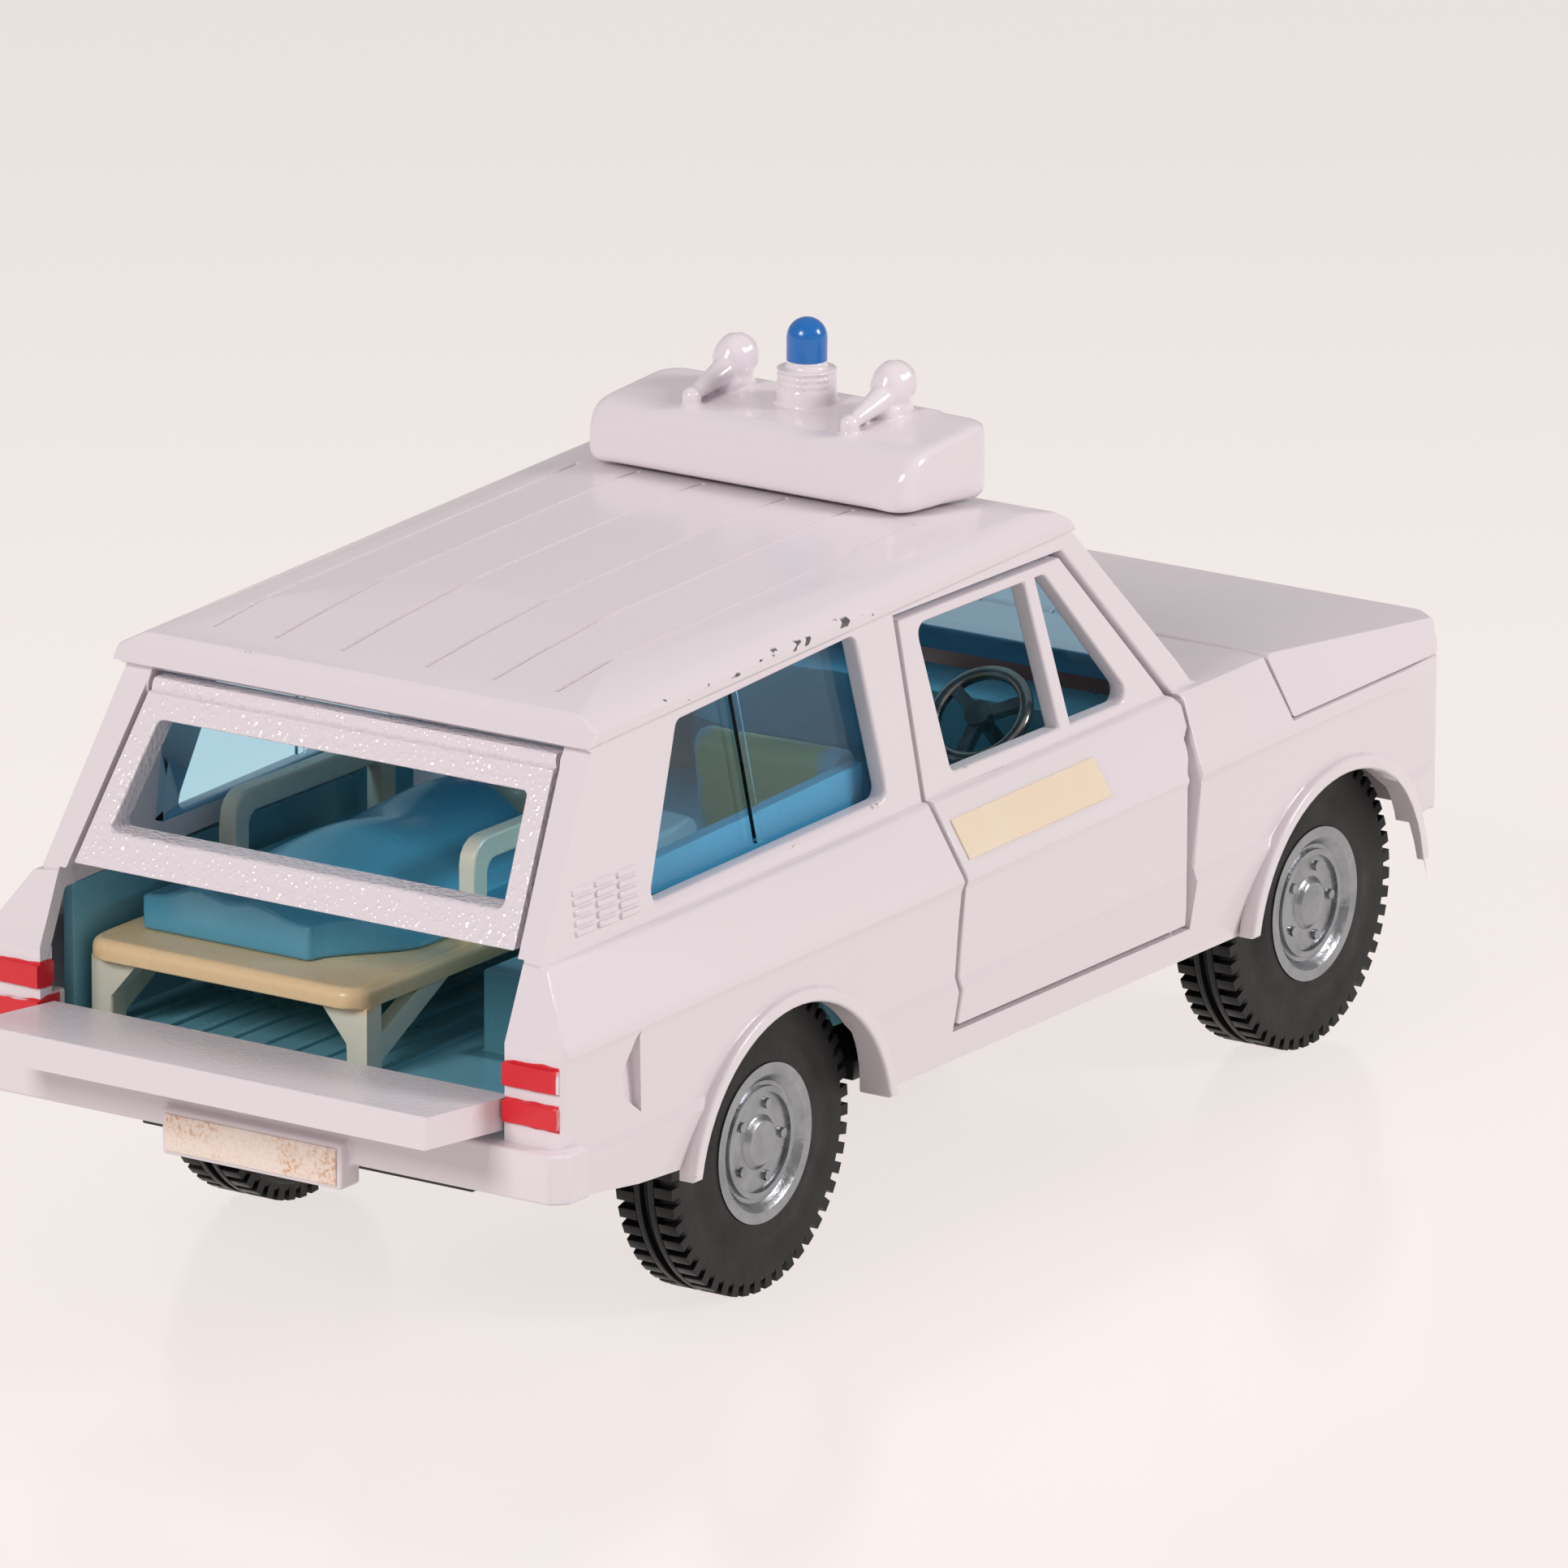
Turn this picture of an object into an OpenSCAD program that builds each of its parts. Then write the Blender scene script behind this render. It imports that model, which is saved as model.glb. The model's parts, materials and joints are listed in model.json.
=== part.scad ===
// Toy ambulance: a die-cast two-door estate car with opening doors, bonnet and split tailgate.
// +X is forward, +Y is the car's left, +Z is up and z = 0 is the ground. Sizes are in millimetres.

/* [Stance] */
// Distance between the two axles
wheelbase = 62; // [60:0.5:64]
// Distance of the rear axle behind the middle of the toy
rear_axle_back = 24.5; // [23.5:0.5:25.5]
// Radius of the tyres over the tread
tyre_r = 9.5; // [9.2:0.1:9.7]
// Width of each tyre
tyre_w = 6; // [5:0.1:6.2]
// Height of the tread blocks
lug_h = 0.5; // [0.3:0.05:0.7]
// Blocks round each shoulder of a tyre
lug_count = 48; // [36:1:60]
// Radius of the hub discs
hub_r = 5; // [4.6:0.1:5.6]
// Distance of the hub faces inside the side crease
hub_in = 2.4; // [2.2:0.1:2.7]
// Radius of the axle rods
axle_r = 1; // [0.8:0.05:1.2]

/* [Body] */
// Half the width over the side crease
body_half_w = 21.7; // [21.5:0.1:22.2]
// Distance of the belt line inside the side crease
belt_in = 2.75; // [2.5:0.05:3]
// Wall of the die-cast shell
wall = 1.2; // [1:0.05:1.4]
// Height of the sill edge above the ground
sill_z = 10.2; // [9.8:0.1:10.6]
// Height of the side crease at the middle of the toy
crease_z = 22; // [21.6:0.1:22.4]
// Height of the belt line at the middle of the toy
belt_z = 26.5; // [26.2:0.1:26.8]
// Height of the roof gutter at the middle of the toy
gutter_z = 39; // [38.8:0.1:39.4]
// Height of the roof crown at the middle of the toy
roof_z = 41.8; // [41.5:0.1:42.2]
// Overhang of the nose panel ahead of the front axle
front_overhang = 15.5; // [14.5:0.5:16.5]
// Distance of the tail-lamp faces behind the middle
tail_back = 48.7; // [48.2:0.1:49.2]
// Radius of the wheel arches
arch_r = 10.3; // [10.1:0.1:10.6]
// Depth of the front bumper bar, ahead of the nose
bumper_reach = 3.6; // [3:0.1:4]

/* [Doors] */
// Rear edge of each door opening, behind the middle
door_back = 6.3; // [5.5:0.1:7]
// Front edge of each door opening
door_front_x = 20.6; // [20:0.1:21]
// Bottom edge of each door opening
door_foot_z = 12.2; // [11.8:0.1:12.8]
// Gap round each door, lid and tailgate
shut_gap = 0.4; // [0.35:0.05:0.5]
// Radius of the hinge pins
pin_r = 0.4; // [0.35:0.05:0.45]

/* [Tailgate] */
// Height of the upper tailgate's top edge
gate_top_z = 37.2; // [36.8:0.1:37.4]
// Distance of that edge behind the middle
gate_top_back = 39.75; // [39.4:0.05:40.2]
// Height of the upper tailgate's bottom edge
gate_foot_z = 26; // [25.8:0.1:26.4]
// Distance of that edge behind the middle
gate_foot_back = 46.7; // [46.4:0.1:47]
// Thickness of the tailgate panels
gate_t = 1.7; // [1.5:0.1:1.9]
// Length of the lower tailgate flap from its hinge
flap_reach = 8.8; // [8:0.1:9]
// Distance of the flap's ends inside the side crease
flap_in = 4.65; // [4.5:0.05:5.2]

/* [Roof pod] */
// Length of the pod along the roof
pod_len = 10.2; // [9:0.1:11]
// Width of the pod
pod_w = 24.6; // [22:0.1:26]
// Height of the pod's front edge above the ground
pod_top_z = 46; // [45.5:0.1:46.4]
// Radius of the beacon's foot
beacon_foot_r = 1.9; // [1.7:0.1:2.2]
// Radius of the beacon lens
beacon_r = 1.28; // [1.1:0.05:1.5]

/* [Stretcher] */
// Length of the stretcher bed
bed_len = 32.5; // [31:0.5:33]
// Width of the stretcher bed
bed_w = 20.4; // [18:0.1:21]
// Height of the bed's upper face above the ground
bed_z = 21.4; // [20.9:0.1:22]
// Room between the bed and the bay's left wall
bed_gap = 0.6; // [0.4:0.1:1]
// Height of the side rails over the bed
rail_h = 6.1; // [5.2:0.1:6.4]

/* [Hidden] */
$fn = 48;

// Length by which a cut runs past the face that it opens
overrun = 1;
// Running clearance of a pin or shaft, on its radius
run_fit = 0.05;
// Room between pieces that are assembled side by side
seat_gap = 0.1;
// Half of a span that is wider than the whole toy
wide = 80;
// Segments in each rounded corner of an outline
corner_steps = 4;
// Corner radii of the outlines
soft_r = 0.8;
window_r = 0.7;
gate_window_r = 0.35;

rear_axle_x = -rear_axle_back;
front_axle_x = rear_axle_x + wheelbase;
nose_x = front_axle_x + front_overhang;
// Widths that follow the side crease
hub_face_y = body_half_w - hub_in;
belt_half_w = body_half_w - belt_in;
flap_half_w = body_half_w - flap_in;
axle_z = tyre_r;
arch_drop = 1.3;
arch_lip = 0.25;
arch_lip_w = 0.9;

// Slopes of the belt line and of the gutter, which both rise towards the front
belt_rake = 1;
gutter_rake = 2;

// Lower body section
sill_in = 1.3;
flare_in = 0.5;
flare_step = 0.25;
flare_z = 15;
flare_h = 0.7;
side_in = 0.35;
crease_h = 0.6;
crown_h = 2;
// Upper body section
upper_sunk = 4;
screen_in = 0.55;
screen_half_w = belt_half_w - screen_in;
gutter_in = 4.7;
gutter_half_w = body_half_w - gutter_in;
gutter_lip = 0.55;
gutter_h = 0.8;
crown_half_shares = [0.92, 0.75, 0.45];
crown_drop_shares = [0.62, 0.28, 0.08];

// Side outline, from the nose to the tail
valance_z = 12.8;
bonnet_lip_z = 24.3;
bonnet_front_z = 25.5;
bonnet_lip_run = 1.4;
bonnet_x = 31.5;
bonnet_z = 27.2;
screen_foot_x = 23.8;
screen_foot_z = 27.6;
screen_top_x = 11;
screen_top_z = 40.7;
roof_pull_x = -8;
roof_pull_z = 43.3;
roof_tail_back = 39.5;
roof_tail_z = 39.3;
roof_lip = 0.3;
roof_lip_h = 0.8;
roof_steps = 8;
lamp_top_z = 21.6;
shoulder_back = 48.1;
shoulder_z = 22.8;
tail_foot_z = 12.4;
tail_rise_x = -40;
tail_rise_z = 11.2;
front_foot_x = 48.4;
front_foot_z = 13.4;
foot_drop = 6;

// Plan outline
nose_in = 7.2;
nose_half_w = body_half_w - nose_in;
brow_in = 3.3;
brow_half_w = body_half_w - brow_in;
brow_back = 1.6;
wing_in = 0.8;
wing_half_w = body_half_w - wing_in;
wing_back = 3.8;
shoulder_run = 12;
tail_r = 1.4;
plan_half_w = body_half_w + arch_lip;

// Rear bumper, plate and lamps
bumper_h = 3.1;
bumper_back = 49.9;
bumper_out = 0.3;
bumper_half_w = body_half_w + bumper_out;
bumper_chamfer = 0.9;
bumper_depth = 3;
plate_w = 13.2;
plate_h = 2.9;
plate_z = 10.95;
plate_proud = 0.8;
plate_rim = 0.3;
lamp_rows = [16.75, 19];
lamp_h = 1.4;
lamp_w = 3.9;
lamp_proud = 0.3;
label_t = 0.15;

// Front end
front_bumper_in = 4.1;
front_bumper_half_w = body_half_w - front_bumper_in;
front_bumper_z = 13;
front_bumper_h = 2.8;
front_bumper_sweep = 3;
grille_in = 11.3;
grille_half_w = body_half_w - grille_in;
grille_foot_z = 17.2;
grille_head_z = 22.4;
grille_bar_w = 0.55;
grille_bars = 14;
grille_frame = 0.7;
grille_t = 1;
grille_proud = 0.2;
headlamp_in = 8.3;
headlamp_y = body_half_w - headlamp_in;
headlamp_z = 19.8;
headlamp_r = 2.4;
headlamp_rim = 0.5;
headlamp_dome = 0.9;
headlamp_seat = 1.6;
indicator_in = 4.4;
indicator_y = body_half_w - indicator_in;
indicator_w = 1.6;
indicator_foot_z = 17.6;
indicator_h = 4.4;
indicator_proud = 0.3;

// Door outline, seen from the side
door_brow_x = 22;
door_head_x = 10.9;
door_head_z = 38.3;
door_head_back = 7.6;
door_waist_z = 23;
door_window_foot_z = 27.5;
door_window_head_z = 37.2;
door_window_back = 2.8;
door_window_head_back = 5.2;
quarter_bar_foot_x = 10;
quarter_bar_head_x = 7;
quarter_bar_w = 1.3;
quarter_foot_x = 17.4;
quarter_head_x = 8.9;
// Door hinge
hinge_x = 19;
hinge_in = 1.7;
hinge_y = body_half_w - hinge_in;
hinge_nose_r = 1.2;
hinge_boss_r = 1;
hinge_boss_h = 7;
hinge_seat = 1.4;
hinge_lug = 3;
// Door label
door_label_len = 15.9;
door_label_h = 2.7;
door_label_x = 3.2;
door_label_in = 0.5;

// Rear side windows, seen from the side
side_window_foot_back = 35.3;
side_window_head_back = 30.8;
side_window_front_back = 9.8;
side_window_peak_back = 11.8;
side_window_foot_z = 26.9;
side_window_front_z = 27.5;
side_window_head_z = 37.1;
side_window_peak_z = 38;

// Windscreen opening, seen from the front
screen_open_foot_z = 28.9;
screen_open_head_z = 38.7;
screen_frame_w = 2.2;
screen_open_foot_half = screen_half_w - screen_frame_w;
screen_open_head_half = gutter_half_w - screen_frame_w;

// Tailgates, seen from behind
gate_in_w = 1.9;
gate_top_half = gutter_half_w - gate_in_w;
gate_splay = 1.5;
gate_lift = 0.62;
gate_foot_half = gate_top_half + gate_splay;
gate_window_top_z = 34.6;
gate_window_foot_z = 28.4;
gate_frame_top_w = 1.6;
gate_frame_foot_w = 2.2;
gate_window_top_half = gate_top_half - gate_frame_top_w;
gate_window_foot_half = gate_foot_half - gate_frame_foot_w;
gate_seat = 1;
flap_axis_back = 47.7;
flap_axis_z = 16.8;
flap_tilt = 5.5;
flap_t = 2;
flap_barrel_r = 0.85;
flap_sill_z = 15.4;
flap_seat = 0.9;

// Bonnet hinge
bonnet_nose_r = 0.85;
bonnet_axis_x = bonnet_x + shut_gap / 2 + bonnet_nose_r;
bonnet_axis_z = bonnet_z - bonnet_nose_r;
bonnet_foot_z = 22.7;
knuckle_y = 4;
knuckle_w = 2.4;
bead_half_w = 7.2;

// Roof grooves
groove_ys = [3.1, 8, 12.6];
groove_w = 0.3;
groove_depth = 0.1;
groove_start_back = 37;
groove_end_x = 1.5;

// Roof pod
pod_back_x = 0.9;
pod_foot_z = 41.2;
pod_rear_z = 45.4;
pod_lean = 0.8;
pod_gap = 0.25;
pod_r = 1.9;
pod_roll_r = 2.6;
pod_nose_r = 0.5;
pod_peg_r = 0.9;
pod_peg_y = 6.5;
beacon_x = 8.2;
beacon_foot_h = 2.6;
beacon_ring_h = 0.2;
beacon_rings = 3;
beacon_ring_in = 0.15;
beacon_h = 2.7;
beacon_neck_h = 0.5;
beacon_stud_r = 0.6;
beacon_stud_h = 0.7;
horn_y = 5.9;
horn_tail_x = 4.2;
horn_tail_z = 46.1;
horn_len = 6.2;
horn_rise = 18;
horn_tail_r = 0.62;
horn_neck_r = 0.4;
horn_bell_r = 1.4;
horn_bell_len = 2.7;
horn_foot_r = 0.6;
horn_sunk = 1.4;

// Interior
floor_z = 15.5;
floor_t = 0.9;
floor_back = 46;
floor_front_x = 23;
floor_in = 3.1;
floor_half_w = body_half_w - floor_in;
rib_h = 0.25;
rib_w = 0.6;
rib_pitch = 2.3;
rib_front_x = -11.5;
well_room = 0.4;
well_wall = 0.6;
well_side = 6.7;
well_in_y = hub_face_y - well_side;
bench_front_x = -9.6;
bench_back = 34.6;
bench_top_z = 28.5;
bench_rise = 0.9;
bench_in = 3.95;
bench_y = belt_half_w - bench_in;
bench_t = 1;
bench_seat_z = 20.6;
bench_aisle = 1.8;
left_wall_z = 24.7;
left_wall_in = 1.75;
left_wall_y = belt_half_w - left_wall_in;
bed_left = left_wall_y - bed_gap - bed_w / 2;
bench_seat_w = bench_y + bed_left - bed_w / 2 - bench_aisle;
left_wall_t = 0.8;
dash_x = 17.6;
dash_z = 25.6;
dash_foot_z = 20.6;
dash_in = 2.95;
dash_half_w = belt_half_w - dash_in;
dash_lip = 1.2;
firewall_t = 0.9;
firewall_in = 0.75;
firewall_half_w = belt_half_w - firewall_in;
seat_x = -3;
seat_in = 9.95;
seat_y = belt_half_w - seat_in;
seat_w = 10.4;
seat_len = 10;
seat_h = 4.4;
seat_back_t = 2.4;
seat_back_z = 29.6;
seat_back_lean = 2.2;
seat_r = 1;
wheel_shift = 0.2;
wheel_x = 14;
wheel_z = 25.7;
wheel_centre = [wheel_x, -seat_y - wheel_shift, wheel_z];
wheel_ring_r = 3.6;
wheel_rim_r = 0.45;
wheel_tilt = 45;
wheel_spoke_w = 0.8;
wheel_spoke_turns = [60, 180, 300];
wheel_hub_r = 0.9;
column_r = 0.5;
column_len = 7;

// Vents and fuel filler
vent_cols = 3;
vent_rows = 5;
vent_back = 43;
vent_foot_z = 26.8;
vent_pitch_x = 2.3;
vent_pitch_z = 0.62;
vent_w = 1.9;
vent_h = 0.4;
vent_proud = 0.18;
filler_back = 40.9;
filler_tail_back = 43.2;
filler_foot_back = 40.2;
filler_head_z = 21.1;
filler_mid_z = 17.9;
filler_foot_z = 15.8;
filler_depth = 1.2;

// Glazing
glass_rib_w = 0.7;
glass_rib_proud = 0.3;
glass_rib_foot_back = 22.2;
glass_rib_lean = 1.3;
glass_t = 0.6;
glass_back = 37;
glass_foot_z = 26.7;

// Stretcher
bed_back = 45.1;
bed_t = 1.3;
bed_chamfer = 0.4;
bed_r = 1.6;
leg_w = 1.5;
gusset_w = 2;
gusset_h = 2.4;
leg_in = 1;
front_leg_y = 4.4;
brace_w = 0.9;
brace_run = 4.6;
rail_w = 1.2;
rail_t = 1.5;
rail_bend_r = 1.6;
rail_in = 1.3;
rail_back_x = -32;
rail_front_x = -15;
pillow_in = 0.6;
pillow_len = 6;
pillow_r = 0.6;
pillow_w = 12;
pillow_h = 2.4;
head_r = 2.4;
blanket_rear_in = 3.4;
blanket_right_in = 4;
blanket_right_share = 0.3;
blanket_edge = 2.2;
blanket_chest = 1;
blanket_knee = 2.6;
blanket_knee_share = 0.34;
blanket_feet = 0.8;
blanket_waist = 0.4;
leg_share = 0.34;
leg_spread = 0.3;
feet_share = 0.08;
feet_spread = 0.12;
fold_h = 0.25;
fold_turns = 900;
fold_skew = 120;
blanket_cols = 14;
blanket_rows = 18;

// Baseplate
base_z = 10.4;
base_t = 1.3;
base_gap = 0.3;
base_mid_half_w = hinge_y - hinge_lug / 2 - base_gap;
base_end_in = 7.1;
base_end_half_w = hub_face_y - base_end_in;
base_front_x = 51.3;
base_back = 45;
base_mid_back = 13.4;
base_mid_front_x = 26.4;
axle_box_half = 2.4;
axle_box_wall = 1.2;
stand_r = 1.4;
stand_y = 9;
stand_front_x = 14;
stand_back = 10;
rivet_x = 49.6;
rivet_back = 43;
rivet_r = 0.8;
rivet_head_r = 1.5;
rivet_head_h = 0.5;
rivet_len = 1.4;
boss_half = 2.2;
boss_top_z = 13.6;

// Wheels
hub_t = 1.6;
hub_rim_w = 0.7;
hub_dish = 0.5;
hub_boss_r = 1.7;
hub_boss_h = 0.35;
hub_ring_r = 3.1;
hub_ring_w = 0.4;
hub_ring_h = 0.25;
nut_r = 0.32;
nut_circle_r = 2.4;
nut_count = 5;
hub_barrel_r = 3.4;
hub_barrel_len = 4;
axle_cap = 0.7;
tyre_out_y = hub_face_y - seat_gap;
shoulder_r = 0.9;
side_step = 0.35;
lug_w = 1.7;
lug_fill_share = 0.58;
rib_ys = [2.35, 3.65];
tread_rib_w = 0.55;

function unit(v) = v / norm(v);
function left_of(v) = [-v.y, v.x];
function mitre(a, p, b) =
    let (m = left_of(unit(p - a)), n = left_of(unit(b - p)))
    (m + n) / (1 + m * n);
// Outline moved inwards by d, for points that run anticlockwise
function inset(pts, d) =
    let (n = len(pts))
    [for (i = [0:n - 1]) pts[i] + d * mitre(pts[(i + n - 1) % n], pts[i], pts[(i + 1) % n])];
function corner_arc(a, p, b, r) =
    let (u = unit(a - p), v = unit(b - p), half = acos(u * v) / 2,
        c = p + unit(u + v) * r / sin(half), s = p + u * r / tan(half), e = p + v * r / tan(half),
        from = atan2(s.y - c.y, s.x - c.x), to = atan2(e.y - c.y, e.x - c.x),
        sweep = (to - from + 540) % 360 - 180)
    [for (i = [0:corner_steps]) let (w = from + sweep * i / corner_steps) c + r * [cos(w), sin(w)]];
function rounded(pts, r) =
    let (n = len(pts))
    [for (i = [0:n - 1]) each corner_arc(pts[(i + n - 1) % n], pts[i], pts[(i + 1) % n], r)];
// Outline of four points whose second and third corners are rounded
function rounded_head(pts, r) = concat([pts[0]],
    corner_arc(pts[0], pts[1], pts[2], r), corner_arc(pts[1], pts[2], pts[3], r), [pts[3]]);
function bow(a, c, b, steps) =
    [for (i = [0:steps]) let (t = i / steps) (1 - t) * (1 - t) * a + 2 * t * (1 - t) * c + t * t * b];
function reversed(list) = [for (i = [len(list) - 1:-1:0]) list[i]];
// A section from the points of its left half, listed from the bottom to the top
function both_sides(half) = concat(half, [for (p = reversed(half)) if (p.x > 0) [-p.x, p.y]]);
// A plan from the points of its left side, listed from the front to the back
function both_flanks(side) = concat(side, [for (p = reversed(side)) [p.x, -p.y]]);
function on_line(a, b, z) = a.x + (b.x - a.x) * (z - a.y) / (b.y - a.y);
function box_points(x0, x1, z0, z1) = [[x0, z0], [x1, z0], [x1, z1], [x0, z1]];
function belt_rise(x) = x * tan(belt_rake);

// Left halves of the two sections, with or without the crease, the gutter and the roof lip
label_low = [body_half_w - side_in, crease_z + crease_h];
label_high = [belt_half_w, belt_z];
function lower_half(trim) = concat(
    [[body_half_w - sill_in, 0],
        [body_half_w - sill_in, sill_z],
        [body_half_w - flare_in, flare_z],
        [body_half_w - flare_in - flare_step, flare_z + flare_h],
        [body_half_w - side_in, crease_z - crease_h]],
    trim ? [[body_half_w, crease_z]] : [],
    [label_low, label_high, [0, belt_z + crown_h]]);
function upper_half(trim) = concat(
    [[screen_half_w, belt_z - upper_sunk], [screen_half_w, belt_z], [gutter_half_w, gutter_z]],
    trim ? [[gutter_half_w + gutter_lip, gutter_z], [gutter_half_w + gutter_lip, gutter_z + gutter_h]] : [],
    [for (i = [0:len(crown_half_shares) - 1])
        [crown_half_shares[i] * (gutter_half_w + gutter_lip),
            roof_z - crown_drop_shares[i] * (roof_z - gutter_z - gutter_h)]],
    [[0, roof_z]]);

gate_top = [-gate_top_back, gate_top_z];
gate_foot = [-gate_foot_back, gate_foot_z];
gate_down = unit(gate_foot - gate_top);
gate_in = left_of(gate_down);
gate_axis = gate_top + gate_lift * gate_down + gate_t / 2 * gate_in;
roof_tail = [-roof_tail_back, roof_tail_z];
screen_foot = [screen_foot_x, screen_foot_z];
screen_top = [screen_top_x, screen_top_z];

// Side outline of the lower body, with its bottom edges let down by drop
function lower_side(drop) = [
    [nose_x - bonnet_lip_run, valance_z - drop],
    [nose_x, valance_z + bonnet_lip_run],
    [nose_x, bonnet_lip_z],
    [nose_x - bonnet_lip_run, bonnet_front_z],
    [bonnet_x, bonnet_z],
    screen_foot,
    gate_foot - gate_down * wall + gate_in * wall,
    gate_foot,
    [-shoulder_back, shoulder_z],
    [-tail_back, lamp_top_z],
    [-tail_back, tail_foot_z - drop],
    [tail_rise_x, tail_rise_z - drop],
    [rear_axle_x, sill_z - drop],
    [front_axle_x, sill_z - drop],
    [front_foot_x, front_foot_z - drop]];
function upper_side(trim) = concat(
    [[on_line(screen_foot, screen_top, belt_z - upper_sunk), belt_z - upper_sunk]],
    bow(screen_top, [roof_pull_x, roof_pull_z],
        trim ? roof_tail : [on_line(gate_foot, gate_top, roof_tail_z), roof_tail_z], roof_steps),
    trim ? [roof_tail + [-roof_lip, -roof_lip_h], gate_top + [-roof_lip_h, roof_lip_h / 2], gate_top] : [],
    [gate_foot, [-gate_foot_back + wall, belt_z - upper_sunk]]);
plan_outline = both_flanks([
    [nose_x, nose_half_w],
    [nose_x - brow_back, brow_half_w],
    [nose_x - wing_back, wing_half_w],
    [nose_x - shoulder_run, plan_half_w],
    each corner_arc([nose_x - shoulder_run, plan_half_w], [-tail_back, plan_half_w], [-tail_back, 0], tail_r)]);

door_outline = [
    [door_front_x, door_foot_z],
    [door_front_x, door_waist_z],
    [door_brow_x, belt_z],
    [door_head_x, door_head_z],
    [-door_head_back, door_head_z],
    [-door_back, belt_z],
    [-door_back, door_foot_z]];
bonnet_outline = [
    [bonnet_x, bonnet_foot_z + belt_rise(bonnet_x)],
    [nose_x + overrun, bonnet_foot_z + belt_rise(nose_x)],
    [nose_x + overrun, bonnet_z + crown_h],
    [bonnet_x, bonnet_z + crown_h]];
gate_outline = both_sides([[gate_foot_half, gate_foot_z], [gate_top_half, gate_top_z]]);

module side_slab(pts, y0, y1) {
    translate([0, y1, 0]) rotate([90, 0, 0]) linear_extrude(y1 - y0) polygon(pts);
}
module section_bar(pts, x0, x1) {
    translate([x0, 0, 0]) rotate([90, 0, 90]) linear_extrude(x1 - x0) polygon(pts);
}
module y_rod(x, z, r, y0, y1) {
    translate([x, y1, z]) rotate([90, 0, 0]) cylinder(r = r, h = y1 - y0);
}
module block(x0, x1, y0, y1, z0, z1) {
    translate([x0, y0, z0]) cube([x1 - x0, y1 - y0, z1 - z0]);
}
module both() {
    children();
    mirror([0, 1, 0]) children();
}
module raked(angle) {
    rotate([0, -angle, 0]) children();
}

// Solid outline of the body, drawn in by d on every face
module lower_body(d, drop) {
    intersection() {
        side_slab(inset(lower_side(drop), d), -wide, wide);
        raked(belt_rake) section_bar(inset(both_sides(lower_half(d == 0)), d), -wide, wide);
        linear_extrude(wide) polygon(inset(plan_outline, d));
    }
}
module upper_body(d) {
    intersection() {
        side_slab(inset(upper_side(d == 0), d), -wide, wide);
        raked(gutter_rake) section_bar(inset(both_sides(upper_half(d == 0)), d), -wide, wide);
    }
}
module body_outline(d, drop) {
    lower_body(d, drop);
    upper_body(d);
}
module shell() {
    difference() {
        body_outline(0, 0);
        body_outline(wall, foot_drop);
    }
}

module wheel_arches(r, y0, y1) {
    for (x = [rear_axle_x, front_axle_x]) y_rod(x, axle_z - arch_drop, r, y0, y1);
}
module arch_lips() {
    intersection() {
        difference() {
            both() wheel_arches(arch_r + arch_lip_w, body_half_w - wall, body_half_w);
            wheel_arches(arch_r, -wide, wide);
        }
        block(-wide, wide, -wide, wide, sill_z, wide);
        linear_extrude(wide) polygon(plan_outline);
    }
}
module side_windows() {
    side_slab(rounded([
        [-side_window_foot_back, side_window_foot_z],
        [-side_window_front_back, side_window_front_z],
        [-side_window_peak_back, side_window_peak_z],
        [-side_window_head_back, side_window_head_z]], window_r), -wide, wide);
}
module vents() {
    intersection() {
        both() for (i = [0:vent_cols - 1], j = [0:vent_rows - 1])
            side_slab(box_points(
                -vent_back + i * vent_pitch_x,
                -vent_back + i * vent_pitch_x + vent_w,
                vent_foot_z + j * vent_pitch_z,
                vent_foot_z + j * vent_pitch_z + vent_h), belt_half_w - wall, wide);
        difference() {
            upper_body(-vent_proud);
            upper_body(wall / 2);
        }
    }
}
module filler_recess() {
    side_slab([[-filler_back, filler_head_z], [-filler_tail_back, filler_mid_z], [-filler_foot_back, filler_foot_z]],
        -wide, -body_half_w + filler_depth);
}
module windscreen_opening() {
    section_bar(both_sides([[screen_open_foot_half, screen_open_foot_z],
        [screen_open_head_half, screen_open_head_z]]), quarter_head_x, bonnet_x);
}
module tailgate_opening() {
    section_bar(gate_outline, -wide, -gate_top_back + gate_t);
    section_bar(both_sides([[flap_half_w, flap_sill_z], [flap_half_w, gate_foot_z + seat_gap]]),
        -wide, -floor_back + wall);
}
module rear_bumper() {
    translate([0, 0, tail_foot_z]) linear_extrude(bumper_h) polygon(both_flanks([
        [-bumper_back + bumper_depth, bumper_half_w],
        [-bumper_back + bumper_chamfer, bumper_half_w],
        [-bumper_back, bumper_half_w - bumper_chamfer]]));
    block(-bumper_back - plate_proud, -tail_back, -plate_w / 2, plate_w / 2, plate_z, plate_z + plate_h);
}
module tail_lamp_bars() {
    intersection() {
        both() for (z = lamp_rows)
            block(-tail_back - lamp_proud, -tail_back + tail_r, flap_half_w, flap_half_w + lamp_w, z, z + lamp_h);
        lower_body(-lamp_proud, 0);
    }
}
module front_bumper() {
    translate([0, 0, front_bumper_z]) linear_extrude(front_bumper_h) polygon(both_flanks([
        [nose_x + bumper_reach, nose_half_w],
        [nose_x + bumper_reach - front_bumper_sweep, front_bumper_half_w],
        [nose_x - front_bumper_sweep, front_bumper_half_w]]));
}
module indicators() {
    intersection() {
        both() block(nose_x - wall, nose_x, indicator_y - indicator_w, indicator_y + indicator_w,
            indicator_foot_z, indicator_foot_z + indicator_h);
        lower_body(-indicator_proud, 0);
    }
}
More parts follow.
